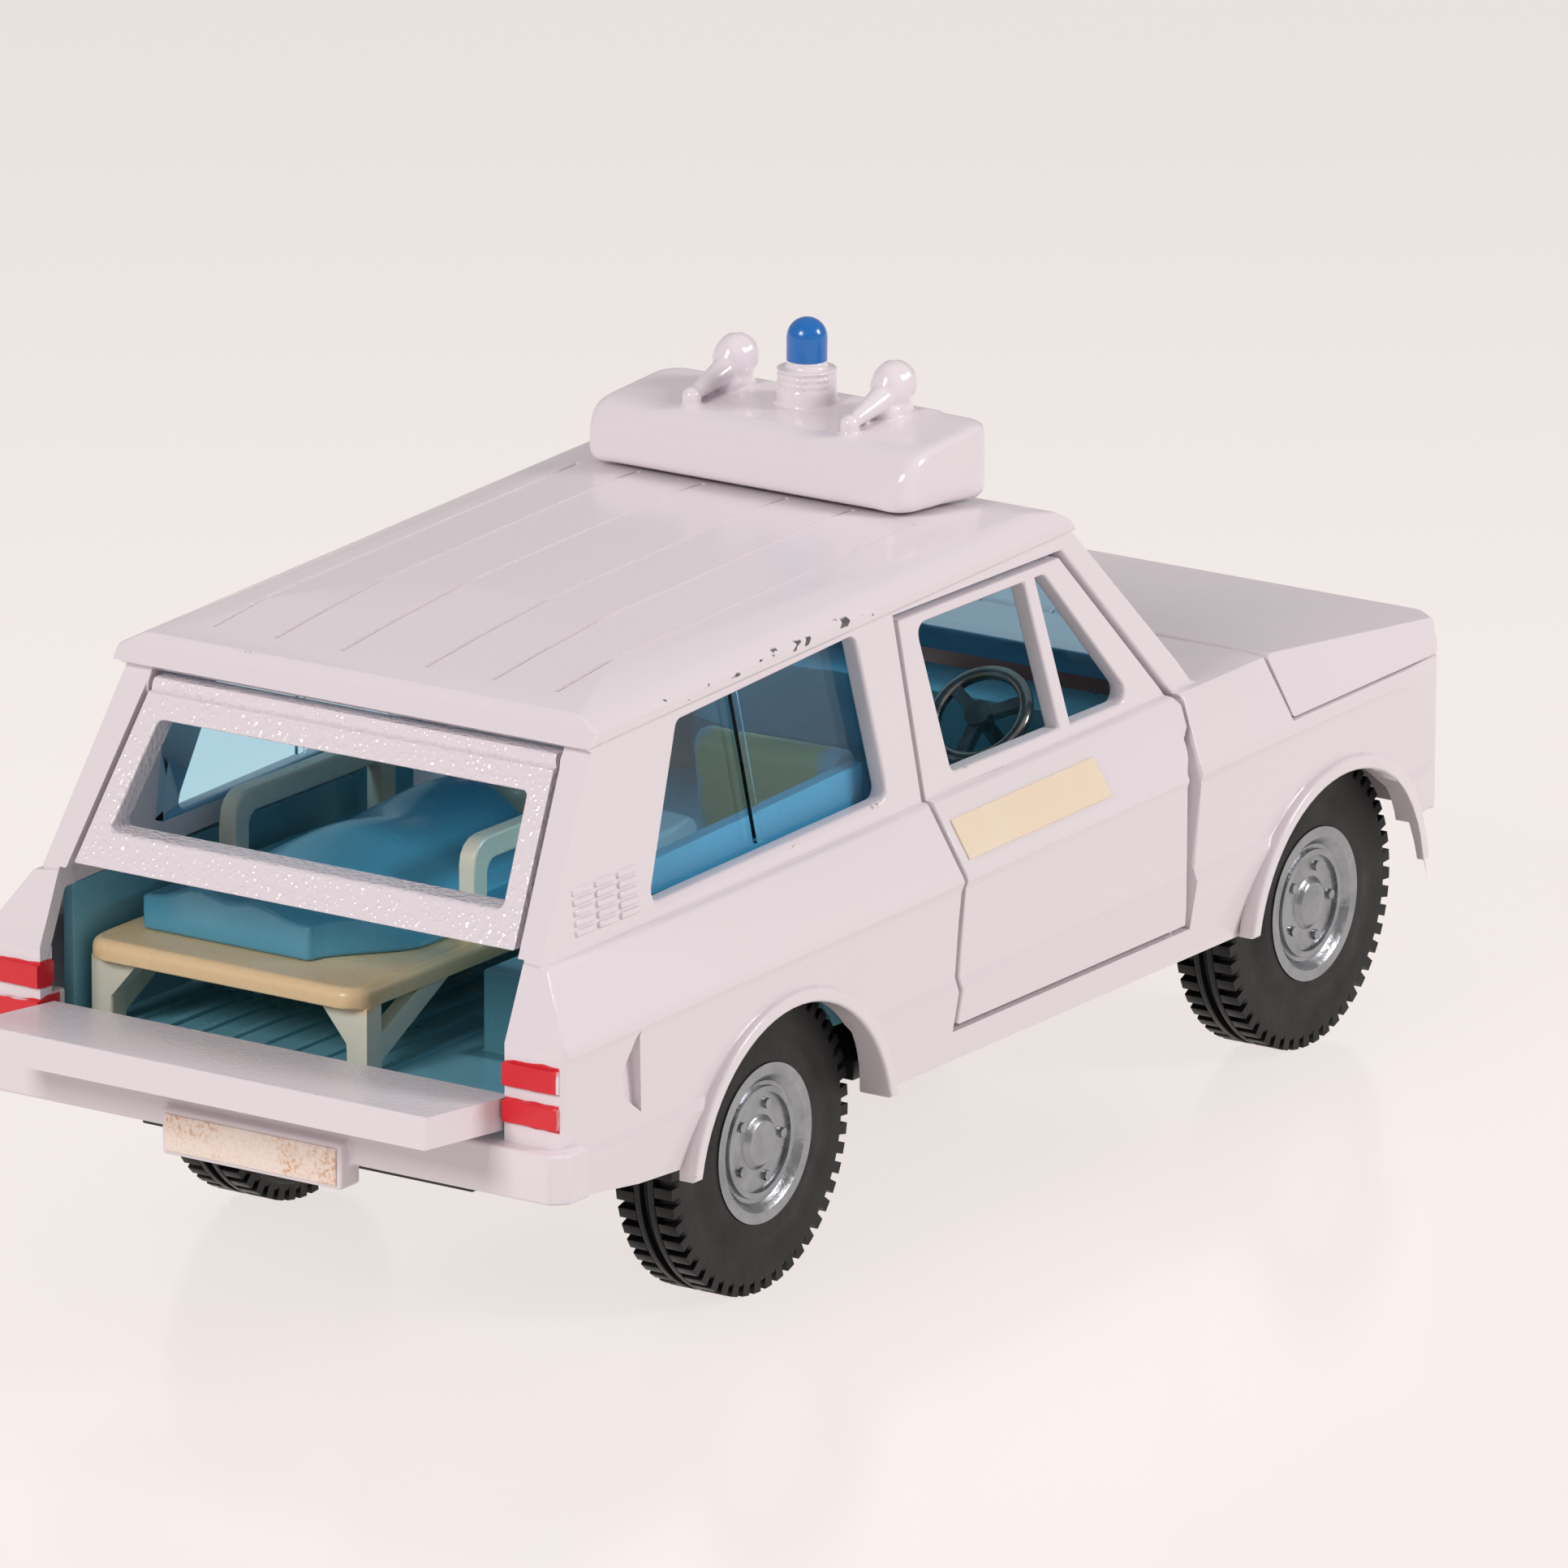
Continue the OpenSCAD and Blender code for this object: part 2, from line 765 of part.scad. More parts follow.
module rivet_bosses() {
    block(rivet_x - boss_half, nose_x - wall / 2, -boss_half, boss_half, base_z + base_t, boss_top_z);
    block(-tail_back + wall / 2, -rivet_back + boss_half, -boss_half, boss_half, base_z + base_t, boss_top_z);
}
module door_sockets() {
    intersection() {
        both() block(hinge_x - hinge_lug / 2, hinge_x + hinge_lug / 2, hinge_y - hinge_lug / 2, body_half_w,
            sill_z, door_foot_z);
        lower_body(0, 0);
    }
}
module bonnet_knuckles() {
    for (side = [-1, 1]) translate([0, side * knuckle_y, 0]) {
        y_rod(bonnet_axis_x, bonnet_axis_z, bonnet_nose_r, -knuckle_w / 2, knuckle_w / 2);
        block(bonnet_x - wall, bonnet_axis_x, -knuckle_w / 2, knuckle_w / 2,
            bonnet_axis_z - bonnet_nose_r, bonnet_axis_z);
    }
}
module gate_bosses() {
    intersection() {
        both() y_rod(gate_axis.x, gate_axis.y, gate_t / 2, gate_top_half, gate_top_half + gate_seat + wall);
        body_outline(0, 0);
    }
}
module flap_bosses() {
    both() block(-tail_back + wall / 2, -floor_back - seat_gap, flap_half_w, flap_half_w + flap_seat + wall,
        flap_axis_z - pin_r - wall, flap_axis_z + pin_r + wall);
}
module roof_grooves() {
    difference() {
        both() for (y = groove_ys)
            block(-groove_start_back, groove_end_x, y - groove_w / 2, y + groove_w / 2, gutter_z - wall, wide);
        upper_body(groove_depth);
    }
}
module hinge_bores(extra) {
    both() translate([hinge_x, hinge_y, door_foot_z - hinge_seat])
        cylinder(r = pin_r + extra, h = hinge_boss_h + hinge_seat);
    y_rod(bonnet_axis_x, bonnet_axis_z, pin_r + extra, -bead_half_w, bead_half_w);
    y_rod(gate_axis.x, gate_axis.y, pin_r + extra, -gate_top_half - gate_seat, gate_top_half + gate_seat);
    y_rod(-flap_axis_back, flap_axis_z, pin_r + extra, -flap_half_w - flap_seat, flap_half_w + flap_seat);
}

module body_shell() color("white") difference() {
    union() {
        difference() {
            union() {
                shell();
                arch_lips();
            }
            side_slab(door_outline, -wide, wide);
            side_slab(bonnet_outline, -wide, wide);
            side_windows();
            windscreen_opening();
            tailgate_opening();
            wheel_arches(arch_r, -wide, wide);
            roof_grooves();
        }
        rear_bumper();
        tail_lamp_bars();
        front_bumper();
        indicators();
        rivet_bosses();
        door_sockets();
        bonnet_knuckles();
        gate_bosses();
        flap_bosses();
        vents();
    }
    filler_recess();
    hinge_bores(0);
    block(nose_x - grille_t - wall, wide, -grille_half_w, grille_half_w, grille_foot_z, grille_head_z);
    both() translate([0, headlamp_y, headlamp_z]) rotate([0, 90, 0]) cylinder(r = headlamp_r, h = wide);
    both() translate([pod_back_x + pod_len / 2, pod_peg_y, gutter_z]) cylinder(r = pod_peg_r, h = wide);
    for (x = [rivet_x, -rivet_back]) translate([x, 0, 0]) cylinder(r = rivet_r, h = base_z + base_t + rivet_len);
}

// One door, on the left side, with its window, quarter-light bar and rounded hinge edge
module door() color("white") difference() {
    union() {
        intersection() {
            difference() {
                shell();
                door_windows();
            }
            side_slab(inset(door_outline, shut_gap), 0, wide);
            union() {
                block(-wide, hinge_x, 0, wide, 0, wide);
                block(-wide, wide, 0, hinge_y, 0, wide);
                translate([hinge_x, hinge_y, 0]) cylinder(r = hinge_nose_r, h = wide);
            }
        }
        intersection() {
            translate([hinge_x, hinge_y, door_foot_z + shut_gap]) cylinder(r = hinge_boss_r, h = hinge_boss_h);
            lower_body(0, 0);
        }
    }
    hinge_bores(run_fit);
}
module door_windows() {
    difference() {
        side_slab(rounded([
            [-door_window_back, door_window_foot_z],
            [quarter_foot_x, door_window_foot_z],
            [quarter_head_x, door_window_head_z],
            [-door_window_head_back, door_window_head_z]], window_r), -wide, wide);
        side_slab([
            [quarter_bar_foot_x - quarter_bar_w / 2, belt_z],
            [quarter_bar_foot_x + quarter_bar_w / 2, belt_z],
            [quarter_bar_head_x + quarter_bar_w / 2, door_head_z],
            [quarter_bar_head_x - quarter_bar_w / 2, door_head_z]], -wide, wide);
    }
}
module left_door() door();
module right_door() mirror([0, 1, 0]) door();

module bonnet() color("white") difference() {
    union() {
        intersection() {
            difference() {
                lower_body(0, 0);
                lower_body(wall, foot_drop);
            }
            side_slab(inset(bonnet_outline, shut_gap), -wide, wide);
            union() {
                block(bonnet_axis_x, wide, -wide, wide, 0, wide);
                block(0, wide, -wide, wide, 0, bonnet_axis_z);
                y_rod(bonnet_axis_x, bonnet_axis_z, bonnet_nose_r, -wide, wide);
            }
        }
        y_rod(bonnet_axis_x, bonnet_axis_z, bonnet_nose_r, -bead_half_w, bead_half_w);
    }
    hinge_bores(run_fit);
    for (side = [-1, 1]) translate([0, side * knuckle_y, 0])
        block(0, bonnet_axis_x + bonnet_nose_r + shut_gap, -knuckle_w / 2 - shut_gap / 2,
            knuckle_w / 2 + shut_gap / 2, 0, wide);
}

// Strip of the tailgate's plane, seen from the side
gate_strip = [
    gate_top - gate_down * wide,
    gate_foot + gate_down * wide,
    gate_foot + gate_down * wide + gate_in * gate_t,
    gate_top - gate_down * wide + gate_in * gate_t];
module upper_tailgate() color("white") difference() {
    intersection() {
        side_slab(gate_strip, -wide, wide);
        section_bar(inset(gate_outline, shut_gap), -wide, 0);
        union() {
            side_slab([gate_axis, gate_axis + gate_down * wide - gate_in * wide,
                gate_axis + gate_down * wide + gate_in * wide], -wide, wide);
            y_rod(gate_axis.x, gate_axis.y, gate_t / 2, -wide, wide);
        }
    }
    section_bar(rounded(both_sides([[gate_window_foot_half, gate_window_foot_z],
        [gate_window_top_half, gate_window_top_z]]), gate_window_r), -wide, 0);
    hinge_bores(run_fit);
}

module lower_tailgate() color("white") difference() {
    translate([-flap_axis_back, 0, flap_axis_z]) rotate([0, flap_tilt, 0]) {
        block(-flap_reach, 0, -flap_half_w + shut_gap / 2, flap_half_w - shut_gap / 2,
            -flap_barrel_r, flap_t - flap_barrel_r);
        y_rod(0, 0, flap_barrel_r, -flap_half_w + shut_gap / 2, flap_half_w - shut_gap / 2);
    }
    hinge_bores(run_fit);
}

module pod_profile() {
    foot = [pod_back_x, pod_foot_z];
    nose = [pod_back_x + pod_len, pod_top_z];
    roll = [pod_back_x + pod_lean, pod_rear_z];
    side_slab(concat([foot, [nose.x, foot.y]], corner_arc([nose.x, foot.y], nose, roll, pod_nose_r),
        corner_arc(nose, roll, foot, pod_roll_r)), -wide, wide);
}
module horn() {
    tail = horn_len - horn_bell_len;
    translate([horn_tail_x, horn_y, horn_tail_z]) rotate([0, -horn_rise, 0]) {
        sphere(r = horn_tail_r);
        rotate([0, 90, 0]) cylinder(r = horn_neck_r, h = horn_len);
        translate([tail, 0, 0]) rotate([0, 90, 0]) rotate_extrude() polygon(concat(
            [[0, 0]],
            bow([horn_neck_r, 0], [horn_bell_r, horn_bell_len / 4], [horn_bell_r, horn_bell_len * 3 / 4],
                corner_steps),
            [[horn_bell_r * 3 / 4, horn_bell_len], [0, horn_bell_len]]));
        translate([tail, 0, -horn_sunk]) cylinder(r = horn_foot_r, h = horn_sunk);
    }
    translate([horn_tail_x, horn_y, horn_tail_z - horn_sunk]) cylinder(r = horn_foot_r, h = horn_sunk);
}
beacon_foot_z = pod_top_z - horn_foot_r;
beacon_z = beacon_foot_z + beacon_foot_h;
module roof_pod() color("white") difference() {
    union() {
        difference() {
            intersection() {
                pod_profile();
                linear_extrude(wide) polygon(rounded([
                    [pod_back_x, -pod_w / 2], [pod_back_x + pod_len, -pod_w / 2],
                    [pod_back_x + pod_len, pod_w / 2], [pod_back_x, pod_w / 2]], pod_r));
            }
            upper_body(-pod_gap);
        }
        both() translate([pod_back_x + pod_len / 2, pod_peg_y, roof_z - wall * 2])
            cylinder(r = pod_peg_r - run_fit, h = wall * 4);
        translate([beacon_x, 0, beacon_foot_z - wall]) cylinder(r = beacon_foot_r, h = beacon_foot_h + wall);
        translate([beacon_x, 0, beacon_z]) cylinder(r = beacon_r, h = beacon_neck_h);
        both() horn();
    }
    translate([beacon_x, 0, beacon_z + beacon_neck_h - beacon_stud_h])
        cylinder(r = beacon_stud_r, h = beacon_stud_h + overrun);
    for (i = [1:beacon_rings]) translate([beacon_x, 0, beacon_z - i * 2 * beacon_ring_h]) difference() {
        cylinder(r = beacon_foot_r + overrun, h = beacon_ring_h);
        cylinder(r = beacon_foot_r - beacon_ring_in, h = beacon_ring_h);
    }
}
module beacon_lens() color("dodgerblue") {
    translate([beacon_x, 0, beacon_z + beacon_neck_h]) {
        cylinder(r = beacon_r, h = beacon_h - beacon_r);
        translate([0, 0, beacon_h - beacon_r]) sphere(r = beacon_r);
        translate([0, 0, -beacon_stud_h]) cylinder(r = beacon_stud_r, h = beacon_stud_h);
    }
}

module glass_ribs() {
    intersection() {
        side_slab([
            [-glass_rib_foot_back - glass_rib_w / 2, side_window_front_z],
            [-glass_rib_foot_back + glass_rib_w / 2, side_window_front_z],
            [-glass_rib_foot_back - glass_rib_lean + glass_rib_w / 2, side_window_head_z],
            [-glass_rib_foot_back - glass_rib_lean - glass_rib_w / 2, side_window_head_z]], -wide, wide);
        upper_body(wall - glass_rib_proud);
    }
}
module glazing() color("steelblue", 0.6) difference() {
    union() {
        upper_body(wall);
        glass_ribs();
    }
    upper_body(wall + glass_t);
    block(-wide, wide, -wide, wide, 0, glass_foot_z);
    block(-wide, -glass_back, -wide, wide, 0, wide);
    side_slab(inset(door_outline, -shut_gap), -wide, wide);
    both() translate([pod_back_x + pod_len / 2, pod_peg_y, 0]) cylinder(r = pod_peg_r + seat_gap, h = wide);
}

// Moulded tub: ribbed floor, wheel boxes, side bench, low left wall, dashboard and firewall
module wheel_wells(r, y0) {
    both() y_rod(rear_axle_x, axle_z, r, y0, floor_half_w);
}
module interior_tub() color("darkcyan") difference() {
    union() {
        block(-floor_back, floor_front_x, -floor_half_w, floor_half_w, floor_z - floor_t, floor_z);
        for (y = [-bench_y + bench_seat_w + rib_pitch:rib_pitch:left_wall_y - rib_pitch / 2])
            block(-floor_back, rib_front_x, y - rib_w / 2, y + rib_w / 2, floor_z - floor_t, floor_z + rib_h);
        intersection() {
            wheel_wells(tyre_r + well_room + well_wall, well_in_y - well_wall);
            block(-wide, wide, -wide, wide, floor_z - floor_t, wide);
        }
        side_slab([
            [-bench_back, floor_z - floor_t],
            [bench_front_x, floor_z - floor_t],
            [bench_front_x, bench_top_z + bench_rise],
            [-bench_back, bench_top_z]], -bench_y - bench_t, -bench_y);
        block(-bench_back, bench_front_x, -bench_y, -bench_y + bench_seat_w, floor_z - floor_t, bench_seat_z);
        block(-bench_back, bench_front_x, left_wall_y, left_wall_y + left_wall_t, floor_z - floor_t, left_wall_z);
        side_slab([
            [dash_x + dash_lip, dash_foot_z],
            [floor_front_x, dash_foot_z],
            [floor_front_x, dash_z],
            [dash_x, dash_z],
            [dash_x, dash_z - dash_lip]], -dash_half_w, dash_half_w);
        block(floor_front_x - firewall_t, floor_front_x, -firewall_half_w, firewall_half_w,
            floor_z - floor_t, dash_z);
    }
    wheel_wells(tyre_r + well_room, well_in_y);
    steering_column(column_r + seat_gap);
}
module seat() color("darkcyan") {
    back_x = seat_x - seat_len / 2;
    side_slab(rounded([
        [back_x, floor_z],
        [seat_x + seat_len / 2, floor_z],
        [seat_x + seat_len / 2, floor_z + seat_h],
        [back_x + seat_back_t, floor_z + seat_h - soft_r],
        [back_x - seat_back_lean + seat_back_t, seat_back_z],
        [back_x - seat_back_lean, seat_back_z]], seat_r), seat_y - seat_w / 2, seat_y + seat_w / 2);
}
module driver_seat() mirror([0, 1, 0]) seat();
module passenger_seat() seat();

module steering_column(r) {
    translate(wheel_centre) rotate([0, wheel_tilt + 90, 0]) cylinder(r = r, h = column_len);
}
module steering_wheel() color("silver") {
    translate(wheel_centre) rotate([0, -wheel_tilt, 0]) {
        rotate_extrude() translate([wheel_ring_r - wheel_rim_r, 0]) circle(r = wheel_rim_r, $fn = 24);
        translate([0, 0, -wheel_rim_r]) cylinder(r = wheel_hub_r, h = wheel_rim_r * 2);
        for (turn = wheel_spoke_turns) rotate([0, 0, turn])
            block(0, wheel_ring_r - wheel_rim_r, -wheel_spoke_w / 2, wheel_spoke_w / 2,
                -wheel_spoke_w / 2, wheel_rim_r / 2);
    }
    steering_column(column_r);
}

bed_x = -bed_back;
bed_front_x = bed_x + bed_len;
module stretcher_leg(x, y, run) {
    block(x - leg_w / 2, x + leg_w / 2, y - leg_w / 2, y + leg_w / 2, floor_z + rib_h + seat_gap, bed_z - bed_t);
    side_slab([
        [x, floor_z + leg_w],
        [x + run, bed_z - bed_t],
        [x + run - sign(run) * brace_w, bed_z - bed_t],
        [x, floor_z + leg_w + brace_w]], y - brace_w / 2, y + brace_w / 2);
}
module leg_gusset(x, y, side) {
    section_bar([
        [y, bed_z - bed_t],
        [y - side * gusset_w, bed_z - bed_t],
        [y, bed_z - bed_t - gusset_h]], x, x + leg_w);
}
module bed_layer(d, z, h) {
    translate([0, 0, z]) linear_extrude(h) polygon(rounded([
        [bed_x + d, -bed_w / 2 + d], [bed_front_x - d, -bed_w / 2 + d],
        [bed_front_x - d, bed_w / 2 - d], [bed_x + d, bed_w / 2 - d]], bed_r - d));
}
// Flat bar bent to a bow, with its two feet in the bed
module rail_bow(y) {
    bow_outline = [
        [rail_back_x, bed_z - bed_t / 2],
        [rail_back_x, bed_z + rail_h],
        [rail_front_x, bed_z + rail_h],
        [rail_front_x, bed_z - bed_t / 2]];
    bow_room = [
        [rail_back_x + rail_t, bed_z - bed_t],
        [rail_back_x + rail_t, bed_z + rail_h - rail_t],
        [rail_front_x - rail_t, bed_z + rail_h - rail_t],
        [rail_front_x - rail_t, bed_z - bed_t]];
    difference() {
        side_slab(rounded_head(bow_outline, rail_bend_r), y - rail_w / 2, y + rail_w / 2);
        side_slab(rounded_head(bow_room, rail_bend_r - rail_t / 2), -wide, wide);
    }
}
module stretcher() color("wheat") {
    translate([0, bed_left, 0]) {
        hull() {
            bed_layer(0, bed_z - bed_t, bed_t - bed_chamfer);
            bed_layer(bed_chamfer, bed_z - bed_t, bed_t);
        }
        for (side = [-1, 1]) {
            stretcher_leg(bed_x + leg_in + leg_w / 2, side * (bed_w - leg_w) / 2, brace_run);
            stretcher_leg(bed_front_x - leg_in - leg_w / 2, side * front_leg_y, -brace_run);
            leg_gusset(bed_x + leg_in, side * (bed_w / 2 - leg_w), side);
            rail_bow(side * (bed_w / 2 - rail_in));
        }
    }
}

// Moulded blanket over a lying figure: u runs from the feet to the chest, v across the bed
pillow_x = bed_front_x - pillow_in - pillow_len;
blanket_x = bed_x + blanket_rear_in;
blanket_len = pillow_x - seat_gap - blanket_x;
blanket_half_w = bed_w / 2 - rail_in - rail_w / 2 - seat_gap;
function soft_step(t) = let (s = min(1, max(0, t))) s * s * (3 - 2 * s);
function blanket_y(u, v) = blanket_half_w * v
    + blanket_right_in * (1 - soft_step(u / blanket_right_share)) * (1 - v) / 2;
function bump(t, centre, spread) = exp(-pow((t - centre) / spread, 2));
function blanket_h(u, v) =
    let (across = pow(cos(90 * v), 2), legs = bump(v, leg_share, leg_spread) + bump(v, -leg_share, leg_spread))
    blanket_edge
        + blanket_feet * legs * bump(u, feet_share, feet_spread)
        + blanket_waist * legs * (1 - u)
        + blanket_knee * across * soft_step(u / blanket_knee_share)
        + blanket_chest * across * u * u
        + fold_h * across * sin(fold_turns * u + fold_skew * v);
module blanket() color("royalblue") {
    cols = blanket_cols;
    rows = blanket_rows;
    layer = (cols + 1) * (rows + 1);
    points = [for (top = [0, 1]) for (i = [0:rows]) for (j = [0:cols])
        let (u = i / rows, v = 2 * j / cols - 1)
        [blanket_x + blanket_len * u, bed_left + blanket_y(u, v), bed_z + top * blanket_h(u, v)]];
    rim = concat(
        [for (j = [0:cols - 1]) j],
        [for (i = [0:rows - 1]) i * (cols + 1) + cols],
        [for (j = [cols:-1:1]) rows * (cols + 1) + j],
        [for (i = [rows:-1:1]) i * (cols + 1)]);
    cells = [for (i = [0:rows - 1]) for (j = [0:cols - 1]) i * (cols + 1) + j];
    ends = len(rim);
    polyhedron(points, concat(
        [for (c = cells) each [[c, c + cols + 1, c + 1], [c + 1, c + cols + 1, c + cols + 2]]],
        [for (c = cells) each [[layer + c, layer + c + 1, layer + c + cols + 1],
            [layer + c + 1, layer + c + cols + 2, layer + c + cols + 1]]],
        [for (k = [0:ends - 1]) let (a = rim[k], b = rim[(k + 1) % ends])
            each [[a, b, layer + a], [b, layer + b, layer + a]]]));
}
module patient_head() color("wheat") translate([0, bed_left, bed_z]) {
    translate([0, pillow_w / 2, 0]) rotate([90, 0, 0]) linear_extrude(pillow_w) polygon(rounded([
        [pillow_x, 0], [pillow_x + pillow_len, 0],
        [pillow_x + pillow_len, pillow_h], [pillow_x, pillow_h]], pillow_r));
    translate([pillow_x + pillow_len / 2, 0, pillow_h + head_r / 2]) sphere(r = head_r);
}

module baseplate() color("dimgray") difference() {
    union() {
        translate([0, 0, base_z]) linear_extrude(base_t) polygon(both_flanks([
            [base_front_x, base_end_half_w],
            [base_mid_front_x, base_end_half_w],
            [base_mid_front_x, base_mid_half_w],
            [-base_mid_back, base_mid_half_w],
            [-base_mid_back, base_end_half_w],
            [-base_back, base_end_half_w]]));
        for (x = [rear_axle_x, front_axle_x])
            block(x - axle_box_half, x + axle_box_half, -base_end_half_w, base_end_half_w,
                axle_z - axle_r - axle_box_wall, axle_z + axle_r + axle_box_wall);
        both() for (x = [stand_front_x, -stand_back]) translate([x, stand_y, base_z])
            cylinder(r = stand_r, h = floor_z - floor_t - base_z);
    }
    for (x = [rear_axle_x, front_axle_x]) y_rod(x, axle_z, axle_r + run_fit, -wide, wide);
    for (x = [rivet_x, -rivet_back]) translate([x, 0, 0]) cylinder(r = rivet_r, h = wide);
}
module base_rivets() color("silver") {
    for (x = [rivet_x, -rivet_back]) translate([x, 0, base_z - rivet_head_h]) {
        cylinder(r = rivet_head_r, h = rivet_head_h);
        cylinder(r = rivet_r, h = rivet_head_h + base_t + rivet_len);
    }
}

module axle(x) color("silver") {
    y_rod(x, axle_z, axle_r, -hub_face_y + axle_cap, hub_face_y - axle_cap);
}
module front_axle() axle(front_axle_x);
module rear_axle() axle(rear_axle_x);

// Places a wheel piece, drawn round the Z axis with its outer face up, on the left or right end of an axle
module on_axle(x, side) {
    translate([x, 0, axle_z]) rotate([side * -90, 0, 0]) children();
}
module hub(x, side) color("lightgray") on_axle(x, side) difference() {
    union() {
        translate([0, 0, hub_face_y]) rotate_extrude() polygon([
            [0, -hub_t - hub_barrel_len],
            [hub_barrel_r, -hub_t - hub_barrel_len],
            [hub_barrel_r, -hub_t],
            [hub_r, -hub_t],
            [hub_r, 0],
            [hub_r - hub_rim_w, 0],
            [hub_r - hub_rim_w - hub_dish, -hub_dish],
            [hub_ring_r + hub_ring_w, -hub_dish],
            [hub_ring_r + hub_ring_w, hub_ring_h - hub_dish],
            [hub_ring_r, hub_ring_h - hub_dish],
            [hub_ring_r, -hub_dish],
            [hub_boss_r, -hub_dish],
            [hub_boss_r - hub_boss_h, hub_boss_h - hub_dish],
            [0, hub_boss_h - hub_dish]]);
        for (i = [1:nut_count]) rotate(360 * i / nut_count) translate([nut_circle_r, 0, hub_face_y - hub_t])
            cylinder(r = nut_r, h = hub_t - hub_dish + hub_ring_h);
    }
    cylinder(r = axle_r, h = hub_face_y - axle_cap);
}
module front_left_hub() hub(front_axle_x, 1);
module front_right_hub() hub(front_axle_x, -1);
module rear_left_hub() hub(rear_axle_x, 1);
module rear_right_hub() hub(rear_axle_x, -1);

tread_r = tyre_r - lug_h;
tyre_in_y = tyre_out_y - tyre_w;
module lug_ring() {
    step = 360 / lug_count;
    linear_extrude(lug_w) difference() {
        polygon([for (i = [0:lug_count - 1]) for (corner = [[0, tread_r - lug_h], [0, tyre_r],
            [lug_fill_share, tyre_r], [lug_fill_share, tread_r - lug_h]])
            corner.y * [cos(step * (i + corner.x)), sin(step * (i + corner.x))]]);
        circle(r = tread_r - lug_h * 2);
    }
}
module tyre(x, side) color("black") on_axle(x, side) {
    rotate_extrude() polygon(concat(
        [[hub_barrel_r, tyre_in_y], [tread_r - side_step * 2, tyre_in_y]],
        bow([tread_r - shoulder_r / 2, tyre_in_y + side_step], [tread_r, tyre_in_y + side_step],
            [tread_r, tyre_in_y + shoulder_r], corner_steps),
        bow([tread_r, tyre_out_y - shoulder_r], [tread_r, tyre_out_y - side_step],
            [tread_r - shoulder_r / 2, tyre_out_y - side_step], corner_steps),
        [[tread_r - side_step * 2, tyre_out_y - side_step], [hub_r + side_step * 2, tyre_out_y],
            [hub_r, tyre_out_y], [hub_r, hub_face_y - hub_t], [hub_barrel_r, hub_face_y - hub_t]]));
    translate([0, 0, tyre_in_y + side_step]) lug_ring();
    translate([0, 0, tyre_out_y - side_step - lug_w]) rotate(180 / lug_count) lug_ring();
    for (y = rib_ys) translate([0, 0, tyre_in_y + y - tread_rib_w / 2]) rotate_extrude()
        translate([tread_r - lug_h, 0]) square([lug_h * 2, tread_rib_w]);
}
module front_left_tyre() tyre(front_axle_x, 1);
module front_right_tyre() tyre(front_axle_x, -1);
module rear_left_tyre() tyre(rear_axle_x, 1);
module rear_right_tyre() tyre(rear_axle_x, -1);

module headlamp() color("gainsboro") translate([nose_x, headlamp_y, headlamp_z]) rotate([0, 90, 0])
    rotate_extrude() polygon(concat(
        [[0, -headlamp_seat], [headlamp_r, -headlamp_seat], [headlamp_r, headlamp_rim],
            [headlamp_r - headlamp_rim, headlamp_rim]],
        bow([headlamp_r - headlamp_rim, headlamp_rim / 2], [headlamp_r / 2, headlamp_dome], [0, headlamp_dome],
            corner_steps)));
module left_headlamp() headlamp();
module right_headlamp() mirror([0, 1, 0]) headlamp();

module grille() color("gainsboro") difference() {
    block(nose_x - grille_t, nose_x + grille_proud, -grille_half_w, grille_half_w, grille_foot_z, grille_head_z);
    pitch = (grille_half_w * 2 - grille_frame * 2 + grille_bar_w) / grille_bars;
    for (i = [0:grille_bars - 1]) let (y = -grille_half_w + grille_frame + i * pitch)
        block(nose_x - grille_t / 2, wide, y, y + pitch - grille_bar_w,
            grille_foot_z + grille_frame, grille_head_z - grille_frame);
}

// Bare paper labels on the door shoulders and on the number-plate block
label_lean = atan2(label_high.y - label_low.y, label_high.x - label_low.x);
module door_label() color("cornsilk") raked(belt_rake)
    translate([door_label_x, label_low.x, label_low.y]) rotate([label_lean, 0, 0])
    block(-door_label_len / 2, door_label_len / 2, door_label_in, door_label_in + door_label_h, -label_t, 0);
module left_door_label() door_label();
module right_door_label() mirror([0, 1, 0]) door_label();
module plate_label() color("cornsilk") block(-bumper_back - plate_proud - label_t, -bumper_back - plate_proud,
    -plate_w / 2 + plate_rim, plate_w / 2 - plate_rim, plate_z + plate_rim, plate_z + plate_h - plate_rim);

module door_pin() color("silver") translate([hinge_x, hinge_y, door_foot_z - hinge_seat])
    cylinder(r = pin_r, h = hinge_boss_h + hinge_seat - shut_gap);
module left_door_pin() door_pin();
module right_door_pin() mirror([0, 1, 0]) door_pin();
module bonnet_rod() color("silver") y_rod(bonnet_axis_x, bonnet_axis_z, pin_r,
    -bead_half_w + shut_gap, bead_half_w - shut_gap);
module upper_gate_rod() color("silver") y_rod(gate_axis.x, gate_axis.y, pin_r,
    -gate_top_half - gate_seat, gate_top_half + gate_seat);
module lower_gate_rod() color("silver") y_rod(-flap_axis_back, flap_axis_z, pin_r,
    -flap_half_w - flap_seat, flap_half_w + flap_seat);

body_shell();
left_door();
right_door();
bonnet();
upper_tailgate();
lower_tailgate();
roof_pod();
beacon_lens();
glazing();
interior_tub();
driver_seat();
passenger_seat();
steering_wheel();
stretcher();
blanket();
patient_head();
baseplate();
base_rivets();
front_axle();
rear_axle();
front_left_hub();
front_right_hub();
rear_left_hub();
rear_right_hub();
front_left_tyre();
front_right_tyre();
rear_left_tyre();
rear_right_tyre();
left_headlamp();
right_headlamp();
grille();
left_door_label();
right_door_label();
plate_label();
left_door_pin();
right_door_pin();
bonnet_rod();
upper_gate_rod();
lower_gate_rod();
